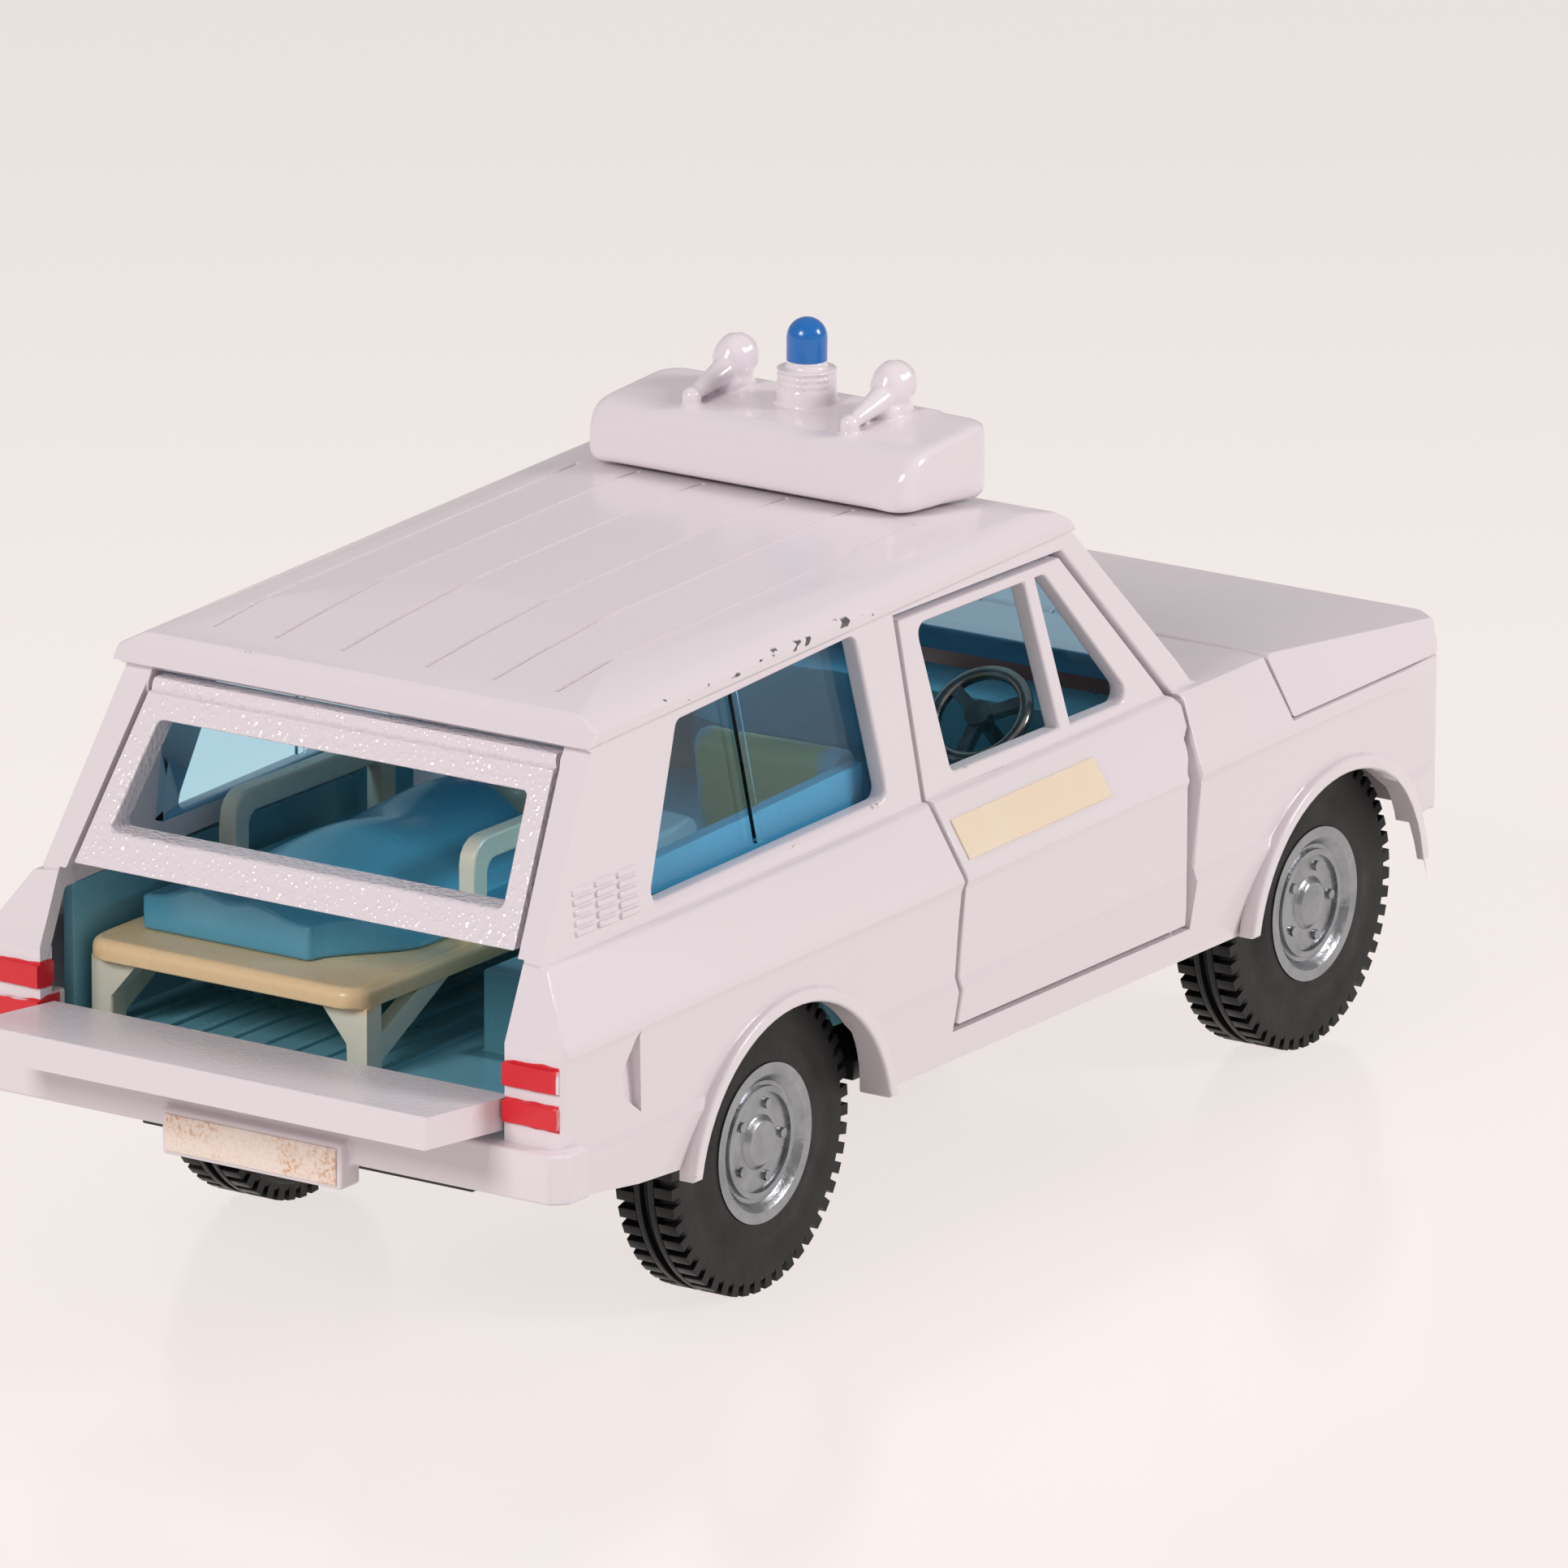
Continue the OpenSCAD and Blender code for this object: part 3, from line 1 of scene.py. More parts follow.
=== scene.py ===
"""Toy ambulance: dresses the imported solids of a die-cast toy and sets up its studio."""

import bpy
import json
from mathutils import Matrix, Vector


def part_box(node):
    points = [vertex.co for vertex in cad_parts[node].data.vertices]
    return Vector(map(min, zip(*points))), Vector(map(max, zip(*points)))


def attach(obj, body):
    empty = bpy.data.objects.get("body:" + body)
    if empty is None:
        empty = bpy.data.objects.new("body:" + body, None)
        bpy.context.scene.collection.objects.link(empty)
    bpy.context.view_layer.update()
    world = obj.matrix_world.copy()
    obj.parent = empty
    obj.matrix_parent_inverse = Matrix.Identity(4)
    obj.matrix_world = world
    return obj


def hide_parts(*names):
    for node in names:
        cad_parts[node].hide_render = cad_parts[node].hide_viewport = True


bl_info = {
    "name": "Toy Ambulance",
    "version": (1, 0, 0),
    "blender": (4, 5, 0),
    "location": "View3D > Sidebar > Ambulance",
    "description": "Dresses a die-cast toy ambulance and sets up its studio",
    "category": "Object",
}

import json
import math

import bmesh
import bpy
from bpy.props import FloatProperty, FloatVectorProperty, IntProperty, PointerProperty
from mathutils import Matrix, Vector
from mathutils.bvhtree import BVHTree
from mathutils.kdtree import KDTree

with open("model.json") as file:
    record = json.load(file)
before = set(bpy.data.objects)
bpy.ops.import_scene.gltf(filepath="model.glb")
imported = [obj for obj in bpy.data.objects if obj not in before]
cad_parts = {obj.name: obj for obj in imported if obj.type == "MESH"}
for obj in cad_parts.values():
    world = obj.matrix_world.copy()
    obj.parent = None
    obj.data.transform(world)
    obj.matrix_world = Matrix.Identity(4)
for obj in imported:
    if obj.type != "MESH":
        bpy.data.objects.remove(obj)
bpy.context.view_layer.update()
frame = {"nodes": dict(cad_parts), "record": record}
BODY_OF = {node: body for body, nodes in frame["record"]["behaviour"]["bodies"].items() for node in nodes}
MM = 0.001

# Rounding of edges: limits of a copy's welding, of the room that an edge has and of what counts as torn

WELD = 2e-6
COPLANAR = math.radians(0.05)
CORNER = 28.0
SMOOTH = 32.0
EDGE_ROOM = 0.42
SIDE_TURN = 0.6
LEAST_EDGE = 0.015 * MM
LEAST_FACE = 5e-10
BEVEL_TRIES = 6
TORN_REACH = 0.4 * MM
TORN_SHARE = 0.4
INSIDE_OUT = -0.5
FOLDED = 0.2
MARK_START = 0.04
MARK_SPAN = 0.16
FLAT_CORNERS = 6
FLAT_TURN = math.cos(math.radians(16.0))

# Places on the car, in millimetres: X runs to the nose, Y to the left and Z up

CAR_END = 60.0
SIDE_BANDS = ((-23.0, -17.5), (17.5, 23.0))
BELT_HEIGHTS = (25.6, 27.3)
CREASE_HEIGHTS = (21.0, 22.8)
ROOF_GROOVES = ((-60.0, -13.6, 40.4), (2.0, 13.6, 43.0))
FILLER_RECESS = ((-44.0, -23.0, 15.3), (-39.5, -19.0, 21.6))
CREASE_FOOT = 21.35
CREASE_REACH = 21.75
CREASE_RIDGE = 22.0
CREASE_RISE = 0.01749
CREASE_BAND = 0.75
BONNET_SIDE = 18.0
BONNET_LOW = 24.0
BONNET_DROP = 0.28
LAMP_MIDDLE = (-48.4, 18.9)
LAMP_HEIGHTS = (19.72, 17.42)
LAMP_HALF = (1.6, 2.0, 0.8)
GUTTER_CHIPS = (-30.0, -24.0, -18.0, -12.0)
GUTTER_HALF = (3.2, 0.6, 0.28)
GUTTER_SIDE = -17.3
GUTTER_START = (-39.86, 38.28)
GUTTER_RISE = 0.0349
POD_ROLL_HEIGHT = 41.2
POD_ROLL_REAR = 3.6
POD_ROLL_SIDE = 8.2
POD_ROLL_PASSES = 160
POD_MELT_PASSES = 6
HORN_ACROSS = 5.9
HORN_BULBS = (((8.8, 47.35), (1.35, 1.32, 1.75)), ((8.7, 46.1), (1.75, 1.25, 0.95)))
HORN_NECK = ((4.3, 46.15, 0.42), (8.6, 47.2, 0.95))
BENCH_END = ((-34.6, -10.5, 18.0), (1.2, 5.8, 3.1))
TUB_WALL_END = -34.5
TUB_WALL_SIDES = (17.0, 18.1)
TUB_WALL_MOVE = -10.5
BED_MIDDLE = (6.0, 20.8)
BED_HALF = (30.0, 30.0, 0.9)
STRUT_SIDES = (-3.5, -2.6, 15.4, 16.3)
STRUT_MOVES = (
    ((-42.6, 17.5), (0.0, 0.0, -1.4)),
    ((-42.6, 18.3), (0.0, 0.0, -0.4)),
    ((-38.8, 20.1), (3.8, 0.0, 0.0)),
    ((-39.7, 20.1), (1.7, 0.0, 0.0)),
)
STRUT_NEAR = 0.12
HUB_FACE_DEPTH = 2.0
SIDEWALL = 18.5
SIDEWALL_RINGS = ((6.57, 0.3), (7.43, 0.06))
RING_NEAR = 0.05

# Second tints, where a finish has aged or is stained, plus painted shade: dirt and painted shade in the enamel's
# inner corners, and a painted shadow on the bench's rear end

# Dirt and painted shade in the enamel's inner corners
ENAMEL_DIRT_AND_SHADE = (0.36, 0.33, 0.35)
BEACON_SHADE = (0.008, 0.12, 0.42)
PLATING_SHADE = (0.3, 0.3, 0.31)
TUB_SHADE = (0.06, 0.28, 0.38)
# Painted shadow on the bench's rear end
BENCH_PAINTED_SHADOW = (0.03, 0.13, 0.17)
SEAT_SHADE = (0.55, 0.66, 0.62)
SEAT_STAIN = (0.80, 0.64, 0.22)
STEERING = (0.38, 0.36, 0.32)
STEERING_SHADE = (0.06, 0.055, 0.05)
BLANKET_SHADE = (0.05, 0.27, 0.42)
ZINC_SHADE = (0.17, 0.18, 0.19)
STEEL_SHADE = (0.3, 0.3, 0.3)
RUBBER_SHADE = (0.016, 0.0155, 0.015)
BASE_SHADE = (0.04, 0.04, 0.042)
LABEL_FADED = (0.86, 0.77, 0.64)
PLATE_PALE = (0.90, 0.79, 0.73)

# Studio: tints of the light, the way in which the floor's glow fades and the lamps' places, in metres

GLOW_TINT = (1.0, 0.925, 0.89, 1.0)
FILL_TINT = (1.0, 0.955, 0.96, 1.0)
LAMP_TINT = (1.0, 0.965, 0.965)
FADE_WAY = (0.829, 0.56, 0.0)
FADE_REACH = (-0.02, 0.34)
LAMP_AIM = (0.0, 0.0, 0.02)
KEY_PLACE = (-1.08, 0.1, 0.68)
SIDE_PLACE = (0.46, -1.02, 0.62)
TOP_PLACE = (0.1, 0.1, 1.3)
TOP_SIZE = 1.2
SENSOR_WIDTH = 36.0
CLIP = (0.01, 50.0)


# Colours and sizes that a user would change


def colour(name, description, default):
    return FloatVectorProperty(
        name=name, description=description, default=default, subtype="COLOR", size=3, min=0.0, max=1.0
    )


def length(name, description, default):
    return FloatProperty(name=name, description=description, default=default, unit="LENGTH", min=0.0, precision=5)


def share(name, description, default, least=0.0):
    return FloatProperty(name=name, description=description, default=default, min=least, max=1.0)


def strength(name, description, default):
    return FloatProperty(name=name, description=description, default=default, min=0.0)


def power(name, description, default):
    return FloatProperty(name=name, description=description, default=default, unit="POWER")


def angle(name, description, degrees):
    return FloatProperty(name=name, description=description, default=math.radians(degrees), subtype="ANGLE")


class AmbulanceSizes(bpy.types.PropertyGroup):
    """Sizes of the finish"""

    casting_edge: length("Casting edge", "Radius of the painted castings' edges", 0.22 * MM)
    panel_edge: length("Panel edge", "Radius of the doors', bonnet's and tailgates' edges", 0.2 * MM)
    plastic_edge: length("Plastic edge", "Radius of the moulded plastic's edges", 0.15 * MM)
    wheel_edge: length("Wheel edge", "Radius of the hubs' edges", 0.035 * MM)
    tread_edge: length("Tread edge", "Radius of the tread lugs' edges", 0.06 * MM)
    tyre_share: share("Tyre share", "Share of the solids' tyre width that is seen", 0.78, 0.5)
    edge_segments: IntProperty(
        name="Edge segments", description="Segments of a rounded edge", default=3, min=1, max=6
    )
    belt_edge: length("Belt edge", "Radius of the ledge under the windows", 0.7 * MM)
    crease_share: share("Crease", "Share of the side crease that the paint leaves", 0.62)
    pod_grain: length("Pod grain", "Grain at which the roof pod's forms run together", 0.13 * MM)
    peel_pitch: length("Orange peel", "Pitch of the paint's orange peel", 0.55 * MM)
    coarse_pitch: length("Coarse peel", "Pitch of the tailgates' coarse orange peel", 0.33 * MM)


class AmbulanceColours(bpy.types.PropertyGroup):
    """Colours of the paints and plastics"""

    enamel: colour("Enamel", "White enamel of the castings", (0.80, 0.735, 0.768))
    enamel_shade: colour("Aged enamel", "Enamel where it has yellowed", (0.80, 0.72, 0.66))
    bare_metal: colour("Bare metal", "Casting that shows in chips", (0.06, 0.055, 0.058))
    lamp_red: colour("Lamp red", "Paint on the tail-lamp bars", (0.72, 0.018, 0.03))
    beacon_blue: colour("Beacon blue", "Paint of the beacon", (0.004, 0.145, 0.48))
    glass: colour("Glazing", "Tint of the glazing", (0.52, 0.84, 0.99))
    tub: colour("Interior", "Moulded interior", (0.19, 0.47, 0.58))
    seat: colour("Seats", "Moulded seats", (0.42, 0.66, 0.78))
    cream: colour("Cream plastic", "Stretcher and figure", (0.70, 0.71, 0.60))
    yellowed: colour("Yellowed plastic", "Cream plastic where it has yellowed", (0.74, 0.53, 0.27))
    blanket: colour("Blanket", "Paint of the blanket", (0.085, 0.32, 0.45))
    rubber: colour("Rubber", "Tyres", (0.007, 0.0068, 0.007))
    zinc: colour("Zinc", "Cast hubs", (0.36, 0.375, 0.39))
    steel: colour("Steel", "Axles, rivets and rods", (0.55, 0.55, 0.56))
    plating: colour("Plating", "Plated grille, lamps and steering wheel", (0.62, 0.62, 0.63))
    base: colour("Baseplate", "Satin black baseplate", (0.016, 0.016, 0.018))
    label: colour("Label", "Bare labels", (0.84, 0.70, 0.52))
    rust: colour("Rust", "Specks on the plate label", (0.60, 0.27, 0.07))
    floor: colour("Floor", "Studio floor", (0.15, 0.142, 0.135))


class AmbulanceStage(bpy.types.PropertyGroup):
    """Camera and light"""

    azimuth: angle("Azimuth", "Turn of the camera", -55.96)
    elevation: angle("Elevation", "Rise of the camera", 16.08)
    roll: angle("Roll", "Roll of the camera", 0.26)
    distance: length("Distance", "Distance from the camera to its target", 1.0)
    target: FloatVectorProperty(
        name="Target",
        description="Point that the camera looks at",
        default=(0.00588, 0.0, 0.02168),
        subtype="XYZ",
        unit="LENGTH",
    )
    lens: FloatProperty(
        name="Lens", description="Focal length on a 36 mm frame", default=368.93, subtype="DISTANCE_CAMERA"
    )
    floor_size: length("Floor", "Width of the floor", 6.0)
    key_power: power("Key", "Power of the lamp behind the car", 7.6)
    side_power: power("Side", "Power of the lamp at the car's right", 8.0)
    top_power: power("Top", "Power of the lamp overhead", 0.3)
    lamp_size: length("Lamp size", "Width of the key and side lamps", 0.36)
    floor_glow: strength("Floor glow", "Glow of the floor as it is seen", 0.77)
    floor_fade: share("Floor fade", "Share of the glow left at the far end", 0.84)
    floor_light: strength("Floor light", "Light that the floor gives off", 0.55)
    sky: strength("Fill", "Strength of the fill light", 0.4)


# Object helpers


def settings():
    scene = bpy.context.scene
    return scene.ambulance_sizes, scene.ambulance_colours, scene.ambulance_stage


def pick(*objects):
    if bpy.context.object and bpy.context.object.mode != "OBJECT":
        bpy.ops.object.mode_set(mode="OBJECT")
    bpy.ops.object.select_all(action="DESELECT")
    for piece in objects:
        piece.select_set(True)
    bpy.context.view_layer.objects.active = objects[-1]


def apply_modifiers(piece):
    pick(piece)
    for modifier in list(piece.modifiers):
        bpy.ops.object.modifier_apply(modifier=modifier.name)


def cad_copy(node, shape=None):
    """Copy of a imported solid's mesh, welded, shaped by a function if one is given, its flat faces made whole."""
    mesh = frame["nodes"][node].data.copy()
    piece = bpy.data.objects.new("dressed_" + node, mesh)
    bpy.context.scene.collection.objects.link(piece)
    mesh.materials.clear()
    pick(piece)
    if mesh.has_custom_normals:
        bpy.ops.mesh.customdata_custom_splitnormals_clear()
    bpy.ops.object.mode_set(mode="EDIT")
    bpy.ops.mesh.select_all(action="SELECT")
    bpy.ops.mesh.remove_doubles(threshold=WELD)
    if shape:
        bpy.ops.object.mode_set(mode="OBJECT")
        shape(mesh)
        bpy.ops.object.mode_set(mode="EDIT")
    bpy.ops.mesh.dissolve_limited(angle_limit=COPLANAR, delimit={"NORMAL"})
    bpy.ops.object.mode_set(mode="OBJECT")
    return piece


def weigh_edges(mesh, radius, corner, rules, torn):
    """Gives each sharp edge the share of the largest radius that it has room for."""
    largest = max([radius, *(rule[2] for rule in rules)])
    build = bmesh.new()
    build.from_mesh(mesh)
    build.normal_update()
    layers = build.edges.layers.float
    weight = layers.get("bevel_weight_edge") or layers.new("bevel_weight_edge")
    for edge in build.edges:
        edge[weight] = 0.0
        if len(edge.link_faces) != 2 or edge.calc_face_angle(0.0) < corner:
            continue
        first, last = (vert.co for vert in edge.verts)
        middle = (first + last) / 2
        half = (last - first).length / 2
        along = (last - first).normalized()
        want = radius
        for low, high, value in rules:
            if all(low[i] * MM <= middle[i] <= high[i] * MM for i in range(3)):
                want = value
        for face in edge.link_faces:
            across = face.normal.cross(along)
            want = min(want, EDGE_ROOM * max(abs((vert.co - first).dot(across)) for vert in face.verts))
        for vert in edge.verts:
            for other in vert.link_edges:
                reach = other.other_vert(vert).co - vert.co
                aside = reach.cross(along).length
                if aside > SIDE_TURN * reach.length:
                    want = min(want, EDGE_ROOM * aside)
        for spots in torn:
            for spot, _, _ in spots.find_range(middle, half + TORN_REACH):
                run = max(-half, min(half, (spot - middle).dot(along)))
                if (spot - middle - along * run).length < TORN_REACH:
                    want *= TORN_SHARE
                    break
        edge[weight] = want / largest if want > LEAST_EDGE else 0.0
    build.to_mesh(mesh)
    build.free()
    return largest


def torn_spots(mesh, source, limit):
    """Places where a rounded mesh has left its source or turned inside out."""
    spots = [vert.co.copy() for vert in mesh.vertices if source.find_nearest(vert.co)[3] > limit]
    for face in mesh.polygons:
        if face.area > LEAST_FACE:
            near = source.find_nearest(face.center)
            if near[1].dot(face.normal) < INSIDE_OUT and near[3] < limit:
                spots.append(face.center.copy())
    mesh.calc_loop_triangles()
    for part in mesh.loop_triangles:
        if part.area > LEAST_FACE and part.normal.dot(mesh.polygons[part.polygon_index].normal) < FOLDED:
            spots.extend(mesh.vertices[index].co.copy() for index in part.vertices)
    tree = KDTree(len(spots))
    for index, spot in enumerate(spots):
        tree.insert(spot, index)
    tree.balance()
    return tree if spots else None


def mark_edges(mesh, source, radius):
    """Writes how far each point lies on a rounded outer edge or in a rounded inner corner."""
    outer = mesh.attributes.new("outer_edge", "FLOAT", "POINT")
    inner = mesh.attributes.new("inner_edge", "FLOAT", "POINT")
    for vert in mesh.vertices:
        place, normal, _, away = source.find_nearest(vert.co)
        depth = min(1.0, max(0.0, away / radius - MARK_START) / MARK_SPAN)
        side = (vert.co - place).dot(normal)
        outer.data[vert.index].value = depth if side < 0 else 0.0
        inner.data[vert.index].value = depth if side > 0 else 0.0


def soften(piece, radius, segments, corner=CORNER, smooth=SMOOTH, rules=()):
    """Rounds the sharp edges of a piece as far as they have room, and shades it smooth across them."""
    if radius > 0:
        start = piece.data.copy()
        build = bmesh.new()
        build.from_mesh(start)
        source = BVHTree.FromBMesh(build)
        build.free()
        torn = []
        for _ in range(BEVEL_TRIES):
            piece.data = start.copy()
            largest = weigh_edges(piece.data, radius, math.radians(corner), rules, torn)
            bevel = piece.modifiers.new("Rounded edges", "BEVEL")
            bevel.width = largest
            bevel.segments = segments
            bevel.limit_method = "WEIGHT"
            bevel.use_clamp_overlap = False
            apply_modifiers(piece)
            fresh = torn_spots(piece.data, source, largest)
            if fresh is None:
                break
            torn.append(fresh)
        mark_edges(piece.data, source, radius)
    pick(piece)
    bpy.ops.object.shade_smooth_by_angle(angle=math.radians(smooth))
    even = piece.modifiers.new("Even shading", "WEIGHTED_NORMAL")
    even.keep_sharp = True
    apply_modifiers(piece)
    level_flats(piece.data)


def level_flats(mesh):
    """Gives the corners of large flat faces the face's own normal where an edge beside them has bent it."""
    normals = [corner.vector.copy() for corner in mesh.corner_normals]
    for face in mesh.polygons:
        if len(face.vertices) > FLAT_CORNERS:
            for loop in face.loop_indices:
                if normals[loop].dot(face.normal) < FLAT_TURN:
                    normals[loop] = face.normal.copy()
    mesh.normals_split_custom_set(normals)


def shift_points(piece, chosen, move):
    """Moves the points of a copy that a test picks; test and move are in millimetres."""
    for vert in piece.data.vertices:
        if chosen(vert.co / MM):
            vert.co += Vector(move) * MM


def melt(piece, grain, passes):
    """Runs overlapping forms of a piece together under one soft skin."""
    pick(piece)
    piece.data.remesh_voxel_size = grain
    bpy.ops.object.voxel_remesh()
    even = piece.modifiers.new("Soft skin", "SMOOTH")
    even.factor = 0.5
    even.iterations = passes
    apply_modifiers(piece)
    bpy.ops.object.shade_smooth()


def finish_piece(piece, material, node):
    """Paints a piece and lets it stand for its node."""
    piece.data.materials.clear()
    piece.data.materials.append(material)
    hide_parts(node)
    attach(piece, BODY_OF[node])


def dress(node, material, radius, segments=3, corner=CORNER, smooth=SMOOTH):
    piece = cad_copy(node)
    soften(piece, radius, segments, corner, smooth)
    finish_piece(piece, material, node)


# Node helpers


def new_node(tree, kind, place=(0, 0), **values):
    node = tree.nodes.new(kind)
    node.location = place
    for name, value in values.items():
        setattr(node, name, value)
    return node


def feed(tree, socket, value):
    if isinstance(value, bpy.types.NodeSocket):
        tree.links.new(value, socket)
    else:
        socket.default_value = value


def math_node(tree, operation, a, b):
    node = new_node(tree, "ShaderNodeMath", operation=operation)
    feed(tree, node.inputs[0], a)
    feed(tree, node.inputs[1], b)
    return node.outputs[0]


def blend_colour(tree, factor, a, b, mode="MIX"):
    node = new_node(tree, "ShaderNodeMix", data_type="RGBA", blend_type=mode)
    feed(tree, node.inputs["Factor"], factor)
    feed(tree, node.inputs[6], a if isinstance(a, bpy.types.NodeSocket) else (*a, 1.0))
    feed(tree, node.inputs[7], b if isinstance(b, bpy.types.NodeSocket) else (*b, 1.0))
    return node.outputs[2]


def smooth_range(tree, value, low, high, out_low=0.0, out_high=1.0):
    node = new_node(tree, "ShaderNodeMapRange", interpolation_type="SMOOTHSTEP")
    feed(tree, node.inputs["Value"], value)
    feed(tree, node.inputs["From Min"], low)
    feed(tree, node.inputs["From Max"], high)
    feed(tree, node.inputs["To Min"], out_low)
    feed(tree, node.inputs["To Max"], out_high)
    return node.outputs["Result"]


def noise(tree, vector, scale, detail=3.0, roughness=0.55, distortion=0.0):
    node = new_node(tree, "ShaderNodeTexNoise")
    feed(tree, node.inputs["Vector"], vector)
    feed(tree, node.inputs["Scale"], scale)
    node.inputs["Detail"].default_value = detail
    node.inputs["Roughness"].default_value = roughness
    node.inputs["Distortion"].default_value = distortion
    return node.outputs["Fac"]


def start_group(name, inputs, outputs):
    """Empty shader group with float or vector inputs, and its inner in and out nodes."""
    tree = bpy.data.node_groups.new(name, "ShaderNodeTree")
    for label, kind, default in inputs:
        socket = tree.interface.new_socket(label, in_out="INPUT", socket_type=kind)
        if default is not None:
            socket.default_value = default
    for label, kind in outputs:
        tree.interface.new_socket(label, in_out="OUTPUT", socket_type=kind)
    return tree, tree.nodes.new("NodeGroupInput"), tree.nodes.new("NodeGroupOutput")


def wear_and_shade_group():
    """Wear along outer edges, and dirt with painted shade in inner corners, broken up by noise."""
    name = "Edge wear"
    if name in bpy.data.node_groups:
        return bpy.data.node_groups[name]
    tree, inside, out = start_group(
        name,
        [
            ("Vector", "NodeSocketVector", None),
            ("Scale", "NodeSocketFloat", 900.0),
            ("Amount", "NodeSocketFloat", 0.5),
        ],
        [("Wear", "NodeSocketFloat"), ("Dirt and shade", "NodeSocketFloat")],
    )
    grain = noise(tree, inside.outputs["Vector"], inside.outputs["Scale"], 4.0, 0.65)
    level = math_node(tree, "ADD", grain, math_node(tree, "MULTIPLY", inside.outputs["Amount"], 0.3))
    worn = smooth_range(tree, level, 0.66, 0.72)
    # Inner corners darkened by dirt and painted shade
    dirt_and_shade = smooth_range(tree, grain, 0.25, 0.6)
    outer = new_node(tree, "ShaderNodeAttribute", attribute_name="outer_edge").outputs["Fac"]
    inner = new_node(tree, "ShaderNodeAttribute", attribute_name="inner_edge").outputs["Fac"]
    feed(tree, out.inputs["Wear"], math_node(tree, "MULTIPLY", outer, worn))
    feed(tree, out.inputs["Dirt and shade"], math_node(tree, "MULTIPLY", inner, dirt_and_shade))
    return tree


def skin_group():
    """Fine orange peel and broad unevenness of a sprayed or moulded skin, as a height."""
    name = "Skin height"
    if name in bpy.data.node_groups:
        return bpy.data.node_groups[name]
    tree, inside, out = start_group(
        name,
        [
            ("Vector", "NodeSocketVector", None),
            ("Fine scale", "NodeSocketFloat", 1800.0),
            ("Broad scale", "NodeSocketFloat", 220.0),
            ("Broad share", "NodeSocketFloat", 0.6),
        ],
        [("Height", "NodeSocketFloat")],
    )
    fine = noise(tree, inside.outputs["Vector"], inside.outputs["Fine scale"], 2.0, 0.5)
    broad = noise(tree, inside.outputs["Vector"], inside.outputs["Broad scale"], 2.0, 0.5)
    swell = math_node(tree, "MULTIPLY", broad, inside.outputs["Broad share"])
    feed(tree, out.inputs["Height"], math_node(tree, "ADD", fine, swell))
    return tree


def stain_group():
    """Soft irregular patches."""
    name = "Stain"
    if name in bpy.data.node_groups:
        return bpy.data.node_groups[name]
    tree, inside, out = start_group(
        name,
        [
            ("Vector", "NodeSocketVector", None),
            ("Scale", "NodeSocketFloat", 120.0),
            ("Low", "NodeSocketFloat", 0.45),
            ("High", "NodeSocketFloat", 0.7),
        ],
        [("Mask", "NodeSocketFloat")],
    )
    value = noise(tree, inside.outputs["Vector"], inside.outputs["Scale"], 5.0, 0.6, 0.4)
    feed(tree, out.inputs["Mask"], smooth_range(tree, value, inside.outputs["Low"], inside.outputs["High"]))
    return tree


def zone_group():
    """Soft-edged box, given by its middle and half sizes, whose border is made ragged by noise."""
    name = "Ragged zone"
    if name in bpy.data.node_groups:
        return bpy.data.node_groups[name]
    tree, inside, out = start_group(
        name,
        [
            ("Vector", "NodeSocketVector", None),
            ("Middle", "NodeSocketVector", None),
            ("Half size", "NodeSocketVector", None),
            ("Edge", "NodeSocketFloat", 0.0001),
            ("Ragged", "NodeSocketFloat", 0.0002),
            ("Scale", "NodeSocketFloat", 900.0),
        ],
        [("Mask", "NodeSocketFloat")],
    )
    away = new_node(tree, "ShaderNodeVectorMath", operation="SUBTRACT")
    feed(tree, away.inputs[0], inside.outputs["Vector"])
    feed(tree, away.inputs[1], inside.outputs["Middle"])
    size = new_node(tree, "ShaderNodeVectorMath", operation="ABSOLUTE")
    feed(tree, size.inputs[0], away.outputs[0])
    past = new_node(tree, "ShaderNodeVectorMath", operation="SUBTRACT")
    feed(tree, past.inputs[0], size.outputs[0])
    feed(tree, past.inputs[1], inside.outputs["Half size"])
    parts = new_node(tree, "ShaderNodeSeparateXYZ")
    feed(tree, parts.inputs[0], past.outputs[0])
    far = math_node(tree, "MAXIMUM", parts.outputs[0], math_node(tree, "MAXIMUM", parts.outputs[1], parts.outputs[2]))
    swing = math_node(tree, "SUBTRACT", noise(tree, inside.outputs["Vector"], inside.outputs["Scale"], 2.0), 0.5)
    value = math_node(tree, "ADD", far, math_node(tree, "MULTIPLY", swing, inside.outputs["Ragged"]))
    within = math_node(tree, "MULTIPLY", inside.outputs["Edge"], -1.0)
    feed(tree, out.inputs["Mask"], smooth_range(tree, value, inside.outputs["Edge"], within))
    return tree


def place_group(tree, group, vector, **values):
    """Node of a group; a value's name has underscores for the socket's spaces."""
    node = new_node(tree, "ShaderNodeGroup")
    node.node_tree = group
    feed(tree, node.inputs["Vector"], vector)
    for name, value in values.items():
        feed(tree, node.inputs[name.replace("_", " ")], value)
    return node


def place_zone(tree, where, middle, half, edge, ragged, scale):
    """Mask of a ragged box; middle and half size in metres, edge and raggedness in millimetres."""
    sizes = {"Middle": middle, "Half_size": half, "Edge": edge * MM, "Ragged": ragged * MM}
    return place_group(tree, zone_group(), where, Scale=scale, **sizes).outputs[0]


def tint_by(tree, mask, share, base, tint):
    """Colour that turns into a tint by a share of a mask."""
    return blend_colour(tree, math_node(tree, "MULTIPLY", mask, share), base, tint)


